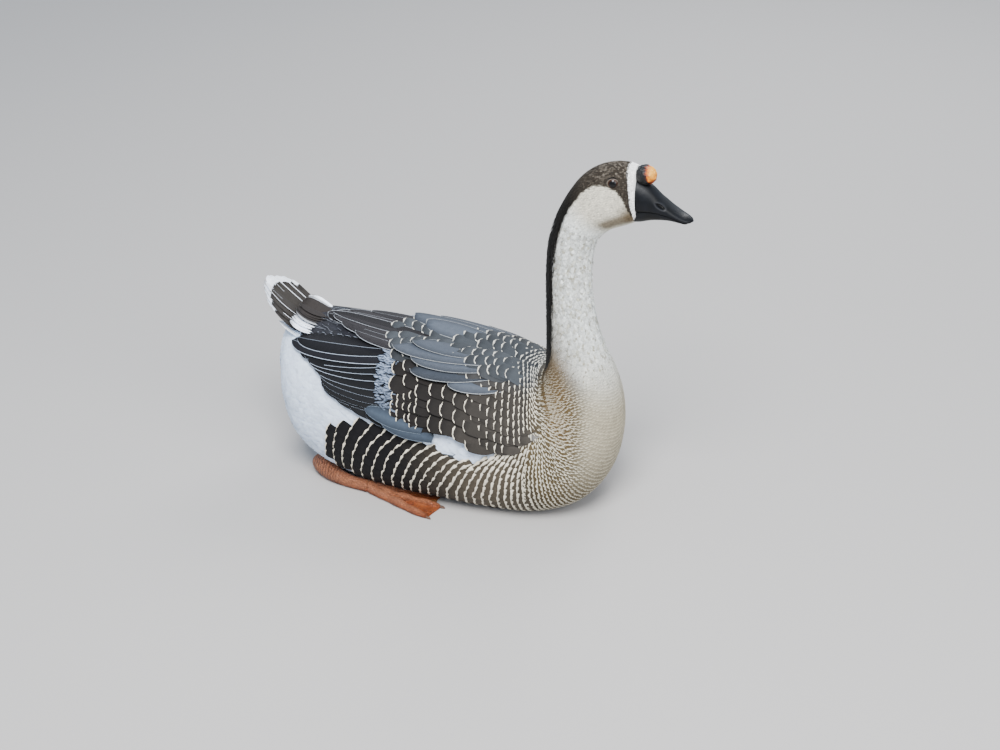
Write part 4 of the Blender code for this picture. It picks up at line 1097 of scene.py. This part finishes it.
fringe = draw.uniform(1.9, 2.7, count) * np.interp(at, (7, 9, 10), (1, 0.9, 0.7))
shoulder = tract_of(at, angle, side, ground, edge, long, half, fringe, 0.0, 0.12, 0.11, seed=17)
lie = -6 * (1 - soft(angle, 16, 34)) + draw.normal(0, 3, count)
spots, outs = lines_on_body(at, angle, side, long, lie, -0.0008, 0.0026, wing_bulk, 7)
vanes("shoulder_feathers", PLUME, spots, outs, shoulder, barred, "wing_feathers", square=6.5, camber=0.12)

# %% [markdown]
# ## Shoulder feathers on top
# The scapulars are the smooth, long feathers that close over the back between the wings. They are bluish
# grey with a thin paler margin, and the last of them lie loosely over the coverts. Two bluer ones cover
# the lower roots of the flight feathers.

# %% Scapulars
tier("covert_pair", ((5.9, 69), (6.2, 73)), ((4.42, 63), (4.85, 68.5)), 2, 0.0105, 0.0030, 0.0040,
     BLUE_COVERT, BLUE_COVERT_EDGE, fringe=0.6, seed=19, uneven=0.3, square=2.6)
tier("scapulars", ((7.1, 10), (7.3, 15), (7.4, 20), (7.5, 25), (8.0, 31)),
     ((5.10, 12), (4.65, 20), (5.25, 26), (5.35, 34), (6.40, 38)), 5, 0.0185, -0.0010, 0.0068, SCAPULAR,
     SCAPULAR_EDGE, fringe=0.8, seed=20, roll=0.24, uneven=0.4, sizes=((0, 1), (0.7, 1), (1, 0.72)))

# %% [markdown]
# ## Tail
# Sixteen tail feathers spread in a shallow fan that tips up behind the back. Their middles are grey-brown
# and their ends broadly white, a few show a pale rim and shaft, and the middle pair stands highest. The
# coverts over their roots are dark in the middle and white at the sides, and those under them are white.

# %% Tail
def tail_tier(name, roots, tips, each_side, half, ground, edge, fringe, rim, seed, *stands_for, sag=0.05,
              outer=None):
    """Feathers of the tail from the middle outward. Roots and tips are those of the first and the last."""
    draw = np.random.default_rng(seed)
    lines, normals, sides = [], [], []
    for sign in (1, -1):
        for k in range(each_side):
            share = k / max(each_side - 1, 1)
            root = np.array(roots[0]) * (1 - share) + np.array(roots[1]) * share
            tip = np.array(tips[0]) * (1 - share**1.6) + np.array(tips[1]) * share**1.6
            tip[1] = tips[0][1] * (1 - share) + tips[1][1] * share
            tip += draw.normal(0, 0.0010, 3)
            root[1], tip[1] = -sign * root[1], -sign * tip[1]
            along = (tip - root) / np.linalg.norm(tip - root)
            out = np.cross(along, (0, 1, 0))
            out = out / np.linalg.norm(out) * (1 if out[2] > 0 else -1)
            t = np.linspace(0, 1, 9)[:, None]
            lift = -np.linalg.norm(tip - root) * sag * np.sin(np.pi * t) - 0.0042 * share + 0.0006 * sign
            lines.append(root * (1 - t) + tip * t + out * lift)
            normals.append(np.tile(out, (9, 1)))
            sides.append(float(sign))
    lines, normals, sides = np.array(lines), np.array(normals), np.array(sides)
    long = np.linalg.norm(np.diff(lines, axis=1), axis=-1).sum(1)
    count = len(lines)
    order = np.tile(np.linspace(0, 1, each_side), 2)
    colour = tinted(plain(ground, count), outer or ground, soft(order, 0.35, 0.7))
    colour = colour * draw.normal(1, 0.07, (count, 1))
    tract = tract_of(np.full(count, 0.5), np.linspace(2, 30, count), sides, colour, plain(edge, count), long,
                     half, fringe, rim, 0.0, 0.20, seed)
    return vanes(name, QUILL, lines, normals, tract, contour, "tail_feathers", *stands_for, own_cells=True,
                 square=3.0, thick=0.0005, camber=0.06)


rimmed = np.tile((0.0, 0.55, 0.0, 0.0, 0.55, 0.0, 0.0, 0.0), 2)      # millimetres, from the middle outward
tail_tier("tail_vanes", ((-0.2060, 0.0030, 0.1830), (-0.2100, 0.0330, 0.1850)),
          ((-0.2825, 0.0040, 0.2385), (-0.2600, 0.0350, 0.2250)), 8, 0.0098, TAIL_DARK, TAIL_WHITE, 12.0,
          rimmed, 21, "tail")
tail_tier("tail_coverts", ((-0.1900, 0.0040, 0.1965), (-0.1980, 0.0310, 0.1890)),
          ((-0.2340, 0.0040, 0.2115), (-0.2330, 0.0375, 0.2030)), 9, 0.0110, TAIL_COVERT,
          TAIL_COVERT_EDGE, 0.5, 0.0, 22, outer=TAIL_WHITE)
tail_tier("under_tail_coverts", ((-0.2080, 0.0060, 0.1700), (-0.2120, 0.0290, 0.1720)),
          ((-0.2520, 0.0080, 0.2020), (-0.2480, 0.0340, 0.2020)), 5, 0.0100, TAIL_WHITE, TAIL_WHITE, 0.0, 0.0,
          23, sag=-0.03)

# %% [markdown]
# ## Rump
# Between the wings' tips and the tail the back is covered with smooth dark feathers. They lie on the thin
# end of the wings' bulk, so that the tail's coverts come out from under them.

# %% Rump
RUMP_LONG = 0.034      # metres
at, angle, lie, side = both_sides(1.55, 4.2, steady((0, .0120)), steady((0, .0140)), steady((0, 0)),
                                  steady((1.5, 26), (4, 24)), loose=0.18)
count = len(at)
draw = np.random.default_rng(24)
ground = plain(RUMP, count) * draw.normal(1, .12, (count, 1))
rump = tract_of(at, angle, side, ground, plain(RUMP_EDGE, count), RUMP_LONG, 0.0105, 0.6, 0.0, 0.0, 0.1)
spots, outs = lines_on_body(at, angle, side, RUMP_LONG + 0 * at, draw.normal(0, 5, count), -0.001, 0.0028,
                            lambda at, angle: 0.4 * wing_bulk(at, angle), 7)
vanes("rump_feathers", PLUME, spots, outs, rump, quills, "wing_feathers", square=3.0)

# %% [markdown]
# ## Bill
# The bill is a bony core in a sheath of dark horn, matt at the face and polished toward the tip, where a
# hard nail ends it. Its ridge is hollow in side view. Each half is a dome over a flat floor, wrapped over
# stations from face to tip.

# %% Shapes of the bill
UPPER = np.array((          # ridge (x, z), mouth line (x, z), half width
    (0.2040, 0.4500, 0.2040, 0.4105, 0.0190), (0.2140, 0.4460, 0.2130, 0.4112, 0.0186),
    (0.2270, 0.4395, 0.2250, 0.4120, 0.0174), (0.2400, 0.4272, 0.2390, 0.4110, 0.0158),
    (0.2530, 0.4170, 0.2520, 0.4080, 0.0145), (0.2640, 0.4098, 0.2620, 0.4045, 0.0132),
    (0.2730, 0.4055, 0.2700, 0.4012, 0.0110), (0.2775, 0.4028, 0.2755, 0.3998, 0.0068),
    (0.2794, 0.4010, 0.2792, 0.4004, 0.0010)))
LOWER = np.array((          # mouth line, keel, half width
    (0.2040, 0.4093, 0.2040, 0.3910, 0.0172), (0.2160, 0.4103, 0.2160, 0.3925, 0.0166),
    (0.2320, 0.4106, 0.2320, 0.3970, 0.0150), (0.2500, 0.4075, 0.2500, 0.3990, 0.0132),
    (0.2640, 0.4022, 0.2640, 0.3980, 0.0110), (0.2710, 0.3992, 0.2710, 0.3970, 0.0080),
    (0.2745, 0.3982, 0.2745, 0.3978, 0.0010)))
DOME = 0.72      # the share of a ring that is dome, before the flat floor


def bill_half(stations, arched):
    """A dome over a flat floor along the stations, or one that hangs below it where it isn't arched."""
    def place(u, v):
        xt, zt, xm, zm, half = np.moveaxis(between(stations, u * (len(stations) - 1)), -1, 0)
        if not arched:
            xt, zt, xm, zm = xm, zm, xt, zt
        dome, turn = v < DOME, np.pi * np.clip(v / DOME, 0, 1)
        y = np.where(dome, -half * np.cos(turn), half * (1 - 2 * np.clip((v - DOME) / (1 - DOME), 0, 1)))
        rise = np.where(dome, np.sin(turn) ** 0.75, 0)
        return np.stack([xm + (xt - xm) * rise, y, zm + (zt - zm) * rise], -1)

    return wrapped("bill", 110, 96, place)


upper, lower = bill_half(UPPER, True), bill_half(LOWER, False)
print("bill:", round((UPPER[-1, 0] - UPPER[0, 0]) * 1000), "mm from the face to the tip")

# %% [markdown]
# ## Nostrils and nail
# The nostrils are slits that slope up toward the face, each in a raised lip, and the nail is a low
# swelling at the tip. They are pressed into the finished grid, because a Boolean would leave a hard rim.
# Horn is nearly black here, bluish where the sky falls on it, and its colour is painted faintly bluish too,
# a painted reflection of the sky. The nostril is a slit painted near black, a painted shade of its hole, with
# a lip painted a little paler, a painted highlight on its raised rim.

# %% Nostrils and nail
NOSTRIL, SLOPE = np.array((0.2410, 0.0125, 0.4195)), math.radians(30)
spots = np.array([v.co for v in upper.vertices])
mark = np.zeros(len(spots))
for sign in (1, -1):
    away = spots - NOSTRIL * (1, sign, 1)
    run = away[:, 0] * math.cos(SLOPE) - away[:, 2] * math.sin(SLOPE)
    climb = away[:, 0] * math.sin(SLOPE) + away[:, 2] * math.cos(SLOPE)
    close = np.exp(-((run / 0.0056) ** 2 + (climb / 0.0018) ** 2) ** 2)
    lip = np.exp(-((run / 0.0085) ** 2 + (climb / 0.0036) ** 2) ** 2) - close
    same_side = spots[:, 1] * sign > 0.002
    spots[:, 1] -= sign * same_side * (0.0036 * close - 0.0009 * lip)
    mark += same_side * (close - 0.6 * lip)
nail = np.exp(-(((spots[:, 0] - 0.2745) / 0.0055) ** 2 + (spots[:, 1] / 0.0060) ** 2) ** 2)
spots[:, 2] += 0.0007 * nail * (spots[:, 2] > 0.402)
for v, spot in zip(upper.vertices, spots):
    v.co = spot
print("corners pressed into the nostrils:", int((mark > 0.5).sum()))

# %% [markdown]
# ## Horn
# The finish reads the mark that each corner of the bill carries, above 0 in a nostril and below 0 on its
# lip, and paints the nostril near black as painted shade and the lip a little paler as a painted highlight.

# %% Horn
horn, place = new_finish("Horn, black, bill sheath")
grain = add_node(horn, "TexNoise", {"Vector": place, "Scale": 260.0, "Detail": 5.0, "Roughness": 0.6},
                 out="Fac")
broad = add_node(horn, "TexNoise", {"Vector": place, "Scale": 55.0, "Detail": 3.0}, out="Fac")
# painted reflection: the horn's near black is painted faintly bluish, for the sky on it
tone = colour_stops(add_node(horn, "ValToRGB", {"Fac": broad}), ((0.35, "#040507"), (0.75, "#0d1016")))
pit = add_node(horn, "Attribute", out="Fac", attribute_name="mark")
# painted shade: the nostril's slit is painted near black; below it, a painted highlight makes its lip a
# little paler
deep = add_node(horn, "MapRange", {"Value": pit, "From Min": 0.15, "From Max": 0.7})
rim = add_node(horn, "MapRange", {"Value": pit, "From Min": -0.1, "From Max": -0.5, "To Max": 0.07})
for share, text in ((rim, "#7d8088"), (deep, "#020202")):
    tone = add_node(horn, "Mix", {"Factor": share, 6: tone, 7: linear(text)}, out=2, data_type="RGBA")
gloss = add_node(horn, "MapRange", {"Value": grain, "To Min": 0.32, "To Max": 0.56})
bump = add_node(horn, "Bump", {"Height": grain, "Strength": 0.35, "Distance": 0.0005})
lay_on(horn, {"Base Color": tone, "Roughness": gloss, "Normal": bump, "IOR": 1.55,
              "Specular IOR Level": 0.22})
show("bill_upper_horn", keep_on(upper, "mark", mark), horn, "black_horn", "bill_upper")
show("bill_lower_horn", keep_on(lower, "mark", np.zeros(len(lower.vertices))), horn, "black_horn",
     "bill_lower")

# %% [markdown]
# ## Knob
# The knob on the forehead is soft, warty skin over a bony boss. It is light orange in front and on top,
# black behind, where the horn of the bill runs up to it, and dappled between; the paler top and darker
# underside are partly its own colour and partly painted light and shade. A ball is stretched to the
# knob's three radii, pinched into two lobes and roughened with three sizes of noise.

# %% Knob
KNOB, KNOB_SIZE = Vector((0.2188, 0, 0.4520)), Vector((0.0134, 0.0128, 0.0122))
shape = bmesh.new()
bmesh.ops.create_icosphere(shape, subdivisions=5, radius=1.0)
for v in shape.verts:
    p = v.co.copy()
    furrow = 0.10 * math.exp(-(p.y / 0.22) ** 2) * max(p.z, 0)
    warts = 0.07 * noise.noise(p * 2.6) + 0.045 * noise.noise(p * 5.5) + 0.02 * noise.noise(p * 13)
    v.co = KNOB + Vector(a * b for a, b in zip(p * (1 - furrow + warts), KNOB_SIZE))
knob = finished(shape, "knob_skin")

warty, place = new_finish("Bare skin, orange knob")
where = add_node(warty, "SeparateXYZ", {0: place}).node.outputs
mottle = add_node(warty, "TexNoise", {"Vector": place, "Scale": 190.0, "Detail": 4.0, "Roughness": 0.7},
                  out="Fac")
ahead = add_node(warty, "MapRange", {"Value": where["X"], "From Min": 0.2165, "From Max": 0.2265})
# partly painted light and shade: the colour goes paler toward the knob's top and darker toward its bottom,
# besides its own dapples
above = add_node(warty, "MapRange", {"Value": where["Z"], "From Min": 0.4480, "From Max": 0.4580,
                                     "To Min": -0.30, "To Max": 0.22})
total = add_node(warty, "Math", {0: ahead, 1: above}, operation="ADD")
total = add_node(warty, "Math", {0: mottle, 1: 1.1, 2: total}, operation="MULTIPLY_ADD")
tone = add_node(warty, "MapRange", {"Value": total, "From Min": 0.6, "From Max": 1.9})
tone = colour_stops(add_node(warty, "ValToRGB", {"Fac": tone}), (
    (0.26, "#060607"), (0.40, "#351105"), (0.50, "#963a06"), (0.64, "#d88408"), (0.88, "#efaa3c")))
pits = add_node(warty, "TexVoronoi", {"Vector": place, "Scale": 900.0})     # pores about 1 mm apart
bump = add_node(warty, "Bump", {"Height": pits, "Strength": 0.5, "Distance": 0.0005})
lay_on(warty, {"Base Color": tone, "Normal": bump, "Roughness": 0.46, "IOR": 1.45, "Subsurface Weight": 0.05,
               "Subsurface Scale": 0.002, "Subsurface Radius": (1.0, 0.35, 0.15)})
show("knob_skin", knob, warty, "orange_knob", "knob")

# %% [markdown]
# ## Eyes
# A goose's eye is a dark brown iris round a large pupil under a clear, wet cornea, in a thin ring of
# grey-brown lid. The ball sits so deep that only its cap shows. The iris is coloured by the angle from
# the gaze, kept with each corner of the ball, and a coat gives the cornea's shine.

# %% Finishes of eye and lid
iris, place = new_finish("Cornea over a brown iris")
gaze = add_node(iris, "Attribute", out="Fac", attribute_name="mark")
streak = add_node(iris, "TexNoise", {"Vector": place, "Scale": 700.0, "Detail": 3.0}, out="Fac")
rays = add_node(iris, "Math", {0: streak, 1: 0.06, 2: gaze}, operation="MULTIPLY_ADD")
tone = colour_stops(add_node(iris, "ValToRGB", {"Fac": rays}), (
    (0.34, "#020202"), (0.40, "#1e0f07"), (0.52, "#3a1f0e"), (0.62, "#080504")))
lay_on(iris, {"Base Color": tone, "Roughness": 0.30, "IOR": 1.38, "Specular IOR Level": 0.2,
              "Coat Weight": 0.45, "Coat Roughness": 0.03})

lid_skin, place = new_finish("Bare skin, grey eyelid")
folds = add_node(lid_skin, "TexNoise", {"Vector": place, "Scale": 1500.0, "Detail": 2.0}, out="Fac")
tone = colour_stops(add_node(lid_skin, "ValToRGB", {"Fac": folds}), ((0.35, "#3f372e"), (0.7, "#70665a")))
bump = add_node(lid_skin, "Bump", {"Height": folds, "Strength": 0.4, "Distance": 0.0002})
lay_on(lid_skin, {"Base Color": tone, "Normal": bump, "Roughness": 0.6})
print("finishes:", iris.name, "and", lid_skin.name)

# %% [markdown]
# ## Balls and lids
# Both are made round the origin, with the gaze along Z, and then turned and moved to the eye's seat. A
# small circle spun round the gaze makes the lid, stretched to an oval that is wider than high.

# %% Eyes
LID_THICK, LID_RADIUS, LID_DEPTH, LID_OVAL = 0.0009, 0.0062, 0.0044, (1.08, 0.90, 1)      # metres
for word, sign in (("right", -1), ("left", 1)):
    out = Vector((0.14, sign, 0.10)).normalized()
    seat = (Matrix.Translation((EYE_AT.x, sign * EYE_AT.y, EYE_AT.z))
            @ out.to_track_quat("Z", "Y").to_matrix().to_4x4())
    shape = bmesh.new()
    bmesh.ops.create_uvsphere(shape, u_segments=48, v_segments=32, radius=EYE_SIZE)
    turns = [v.co.angle(Vector((0, 0, 1)), 0) / (math.pi / 2) for v in shape.verts]
    bmesh.ops.transform(shape, matrix=seat, verts=shape.verts)
    ball = keep_on(finished(shape, "eyeball_" + word), "mark", turns)
    show("eyeball_" + word, ball, iris, "eye", "eye_" + word)
    shape = bmesh.new()
    ring = bmesh.ops.create_circle(shape, segments=10, radius=LID_THICK)["verts"]
    upright = Matrix.Translation((LID_RADIUS, 0, LID_DEPTH)) @ Matrix.Rotation(math.pi / 2, 4, "X")
    bmesh.ops.transform(shape, matrix=upright, verts=ring)
    bmesh.ops.spin(shape, geom=shape.verts[:] + shape.edges[:], cent=(0, 0, 0), axis=(0, 0, 1),
                   angle=2 * math.pi, steps=44, use_merge=True)
    bmesh.ops.scale(shape, vec=LID_OVAL, verts=shape.verts)
    bmesh.ops.transform(shape, matrix=seat, verts=shape.verts)
    bmesh.ops.recalc_face_normals(shape, faces=shape.faces)
    show("eyelid_" + word, finished(shape, "eyelid_" + word), lid_skin, "head_feathers")

# %% [markdown]
# ## Legs and webbed feet
# Each leg is folded, so the shank lies on the floor from the heel joint to the toes. The skin is orange,
# with plates along the shank and toes, dark in their seams, and a thin wrinkled web between the toes.
# Tubes for the shank and toes and a plate for each web are joined by a remesh at about 1 mm, which closes
# the hollows where they meet as skin does.

# %% Shapes of legs and feet
SHANK = (((-0.1970, -0.0500), 0.0085), ((-0.1910, -0.0570), 0.0130), ((-0.1790, -0.0690), 0.0140),
         ((-0.1625, -0.0800), 0.0112), ((-0.1400, -0.0870), 0.0088), ((-0.1180, -0.0900), 0.0086),
         ((-0.1080, -0.0915), 0.0090))
TOES = (
    (((-0.1100, -0.0920), 0.0080), ((-0.0900, -0.1010), 0.0062), ((-0.0620, -0.1130), 0.0056),
     ((-0.0350, -0.1240), 0.0048), ((-0.0170, -0.1290), 0.0034)),
    (((-0.1260, -0.0892), 0.0084), ((-0.1100, -0.0900), 0.0080), ((-0.0860, -0.0950), 0.0062),
     ((-0.0580, -0.0990), 0.0056), ((-0.0280, -0.1010), 0.0048), ((-0.0080, -0.1010), 0.0034)),
    (((-0.1100, -0.0880), 0.0080), ((-0.0840, -0.0870), 0.0060), ((-0.0600, -0.0830), 0.0052),
     ((-0.0340, -0.0780), 0.0044), ((-0.0160, -0.0740), 0.0032)))
WEB_THICK = 0.0028      # metres, over the floor


def lying_tube(stations, sign, knuckles=0.0):
    """A rounded tube on the floor along (x, y) stations, with a swelling at each station between its ends."""
    table = np.array([(*spot, thick) for spot, thick in stations])
    end = len(table) - 1

    def place(u, v):
        x, y, thick = between(table, u * end).T
        run = between(table, np.minimum(u * end + 0.02, end)) - between(table, np.maximum(u * end - 0.02, 0))
        dx, dy = run[:, 0], run[:, 1]
        closing = np.sqrt(np.clip(1 - np.clip(np.abs(u - 0.5) / 0.5, 0, 1) ** 16, 0.02, 1))
        thick = thick * (1 + knuckles * np.cos(2 * np.pi * u * end) * np.sin(np.pi * u)) * closing
        turn = 2 * np.pi * v
        across, up = thick * np.cos(turn), 0.92 * thick * (1 + np.sin(turn)) - 0.10 * thick
        size = np.hypot(dx, dy)
        return np.stack([x - dy / size * across, -sign * (y + dx / size * across), np.maximum(up, 0.0)], -1)

    return wrapped("tube", 60, 24, place)


def web(inner, outer, sign):
    """The skin between two toes, thin and slightly wavy, with a hollow front edge."""
    first, last = (np.array([spot for spot, _ in toe[-5:]]) for toe in (inner, outer))

    def place(u, v):
        share = np.where(v < 0.5, v * 2, 2 - v * 2)
        at = np.clip((u - 0.08 * np.sin(np.pi * share) * u) * 3.98, 0, 4)
        spot = between(first, at) * (1 - share)[:, None] + between(last, at) * share[:, None]
        fold = 0.0007 * np.sin(share * np.pi * 5 + 3 * u) * np.sin(np.pi * share) * u
        return np.stack([spot[:, 0], -sign * spot[:, 1], np.where(v < 0.5, WEB_THICK + fold, 0.0)], -1)

    return wrapped("web", 40, 60, place)


def one_skin(name, meshes, voxel):
    """Meshes joined, remeshed into one closed skin and smoothed."""
    shape = bmesh.new()
    for mesh in meshes:
        shape.from_mesh(mesh)
    helper = bpy.data.objects.new(name, finished(shape, name))
    bpy.context.scene.collection.objects.link(helper)
    remesh = helper.modifiers.new("skin", "REMESH")
    remesh.mode, remesh.voxel_size = "VOXEL", voxel
    smooth = helper.modifiers.new("smooth", "SMOOTH")
    smooth.factor, smooth.iterations = 0.5, 4
    bpy.context.view_layer.update()
    made = bpy.data.meshes.new_from_object(helper.evaluated_get(bpy.context.evaluated_depsgraph_get()))
    bpy.data.objects.remove(helper)
    made.name = name
    made.polygons.foreach_set("use_smooth", np.ones(len(made.polygons), bool))
    return made


print("length of the toes:", [round(math.dist(toe[0][0], toe[-1][0]) * 1000) for toe in TOES], "mm")

# %% [markdown]
# ## Skin of legs and feet
# The plates are about 2.4 mm across on a real goose's shank, and a Voronoi pattern of that size draws
# them, raised by bump and darker in the seams. Broad noise shifts the orange between reddish and pale,
# the heel lies in folds whose creases are painted dark as painted shade, and small dark specks stand for
# dirt and worn scales.

# %% Finishes of legs and feet
orange, place = new_finish("Bare skin, orange, scaled")
plates = add_node(orange, "TexVoronoi", {"Vector": place, "Scale": 420.0}, feature="DISTANCE_TO_EDGE")
seams = add_node(orange, "MapRange", {"Value": plates, "From Max": 0.20})
cloud = add_node(orange, "TexNoise", {"Vector": place, "Scale": 60.0, "Detail": 4.0}, out="Fac")
tone = colour_stops(add_node(orange, "ValToRGB", {"Fac": cloud}), ((0.30, "#8f421b"), (0.70, "#b35e2c")))
where = add_node(orange, "SeparateXYZ", {0: place}).node.outputs
raised = add_node(orange, "MapRange", {"Value": where["Z"], "From Min": 0.0035, "From Max": 0.0095,
                                       "To Max": 0.75})
tone = add_node(orange, "Mix", {"Factor": raised, 6: tone, 7: linear("#b97a58")}, out=2, data_type="RGBA")
dust = add_node(orange, "TexNoise", {"Vector": place, "Scale": 320.0, "Detail": 5.0, "Roughness": 0.8},
                out="Fac")
specks = add_node(orange, "MapRange", {"Value": dust, "From Min": 0.50, "From Max": 0.66, "To Max": 0.75})
tone = add_node(orange, "Mix", {"Factor": specks, 6: tone, 7: linear("#43291b")}, out=2, data_type="RGBA")
heel = add_node(orange, "MapRange", {"Value": where["X"], "From Min": -0.130, "From Max": -0.160})
folds = add_node(orange, "TexWave", {"Vector": place, "Scale": 75.0, "Distortion": 5.0, "Detail": 2.0,
                                     "Detail Scale": 2.5}, out="Fac")      # 4 mm from fold to fold
folds = add_node(orange, "Math", {0: folds, 1: heel}, operation="MULTIPLY")
# painted shade: the creases of the heel's folds are painted dark brown
dark = add_node(orange, "MapRange", {"Value": folds, "From Min": 0.45, "To Max": 0.75})
tone = add_node(orange, "Mix", {"Factor": dark, 6: tone, 7: linear("#4d2a17")}, out=2, data_type="RGBA")
worn = add_node(orange, "MapRange", {"Value": seams, "To Min": 0.55, "To Max": 1.0})
tone = add_node(orange, "VectorMath", {0: tone, "Scale": worn}, operation="SCALE")
creases = add_node(orange, "TexNoise", {"Vector": place, "Scale": 130.0, "Detail": 3.0}, out="Fac")
relief = add_node(orange, "Math", {0: creases, 1: 1.2, 2: seams}, operation="MULTIPLY_ADD")
relief = add_node(orange, "Math", {0: folds, 1: -1.0, 2: relief}, operation="MULTIPLY_ADD")
bump = add_node(orange, "Bump", {"Height": relief, "Strength": 0.9, "Distance": 0.0012})
lay_on(orange, {"Base Color": tone, "Normal": bump, "Roughness": 0.55, "IOR": 1.45, "Subsurface Weight": 0.08,
                "Subsurface Scale": 0.002, "Subsurface Radius": (1.0, 0.35, 0.12)})

claw_horn, place = new_finish("Horn, dark claws")
grain = add_node(claw_horn, "TexNoise", {"Vector": place, "Scale": 300.0, "Detail": 3.0}, out="Fac")
tone = colour_stops(add_node(claw_horn, "ValToRGB", {"Fac": grain}), ((0.3, "#3a2a20"), (0.7, "#6d4a36")))
lay_on(claw_horn, {"Base Color": tone, "Roughness": 0.42})
print("finishes:", orange.name, "and", claw_horn.name)

# %% [markdown]
# ## Shanks, feet and claws
# The shank and the foot of each side are one skin each. A short blunt claw of dark horn goes on from the
# last knuckle of each toe.

# %% Legs and feet
CLAW = ((-0.003, 0.0020), (0.001, 0.0021), (0.0030, 0.0016), (0.0050, 0.0007))      # past the toe, radius
for word, sign in (("right", -1), ("left", 1)):
    shank = one_skin("shank_skin_" + word, [lying_tube(SHANK, sign)], 0.0011)
    show("shank_skin_" + word, shank, orange, "orange_skin", "shank_" + word)
    pieces = [lying_tube(toe, sign, 0.10) for toe in TOES]
    pieces += [web(one, other, sign) for one, other in zip(TOES, TOES[1:])]
    foot = one_skin("foot_skin_" + word, pieces, 0.0009)
    show("foot_skin_" + word, foot, orange, "orange_skin", "foot_" + word)
    for i, toe in enumerate(TOES):
        (end, _), (before, _) = toe[-1], toe[-2]
        along = Vector((end[0] - before[0], end[1] - before[1])).normalized()
        stations = [((end[0] + along.x * s, end[1] + along.y * s), r) for s, r in CLAW]
        show(f"claw_{word}_{i + 1}", lying_tube(stations, sign), claw_horn, "orange_skin")

# %% [markdown]
# ## Floor and light
# The floor is plain and pale. One broad soft light stands for the sky on the bird's right, a weaker one
# fills from the front, another draws the far edge, and the world adds an even, faintly blue glow.

# %% Floor and light
shape = bmesh.new()
bmesh.ops.create_grid(shape, x_segments=2, y_segments=2, size=30.0)
floor = bpy.data.objects.new("floor", finished(shape, "floor"))
bpy.context.scene.collection.objects.link(floor)
paper, _ = new_finish("Paper, pale backdrop")
floor.data.materials.append(lay_on(paper, {"Base Color": linear("#b9b6b3"), "Roughness": 0.9}))


def soft_light(name, place, size, watts):
    """A round soft light that shines on the bird."""
    lamp = bpy.data.lights.new(name, "AREA")
    lamp.energy, lamp.shape, lamp.size = watts, "DISK", size
    holder = bpy.data.objects.new(name, lamp)
    bpy.context.scene.collection.objects.link(holder)
    holder.location = place
    holder.rotation_euler = (Vector((-0.02, 0, 0.15)) - Vector(place)).to_track_quat("-Z", "Y").to_euler()


soft_light("key", (0.2, -1.3, 2.4), 1.4, 112)
soft_light("fill", (1.8, -1.0, 1.3), 1.5, 26)
soft_light("rim", (0.3, 1.9, 1.7), 1.2, 30)
world = bpy.context.scene.world or bpy.data.worlds.new("World")
bpy.context.scene.world = world
world.use_nodes = True
glow = world.node_tree.nodes["Background"].inputs
glow["Color"].default_value, glow["Strength"].default_value = linear("#d3e0f2"), 0.90
print("lights:", [light.name for light in bpy.data.lights])

# %% [markdown]
# ## Camera
# The camera stands where the photograph's did, a little above and to the right, with a 72 mm lens. It is
# turned 18 degrees from the bird's side and looks down by 29.4 degrees.

# %% Camera
TURNED, DOWNWARD = math.radians(18), math.radians(29.4)
lens = bpy.data.cameras.new("camera")
lens.lens, lens.sensor_width, lens.clip_start = 72, 36, 0.05
camera = bpy.data.objects.new("camera", lens)
bpy.context.scene.collection.objects.link(camera)
stand = Vector((0.726597, -2.119467, 1.405029))
facing = Matrix.Rotation(TURNED, 4, "Z") @ Matrix.Rotation(math.pi / 2 - DOWNWARD, 4, "X")
camera.matrix_world = Matrix.Translation(stand) @ facing
bpy.context.scene.camera = camera
print("camera", round((stand - Vector((0, 0, 0.15))).length, 2), "m from the bird")
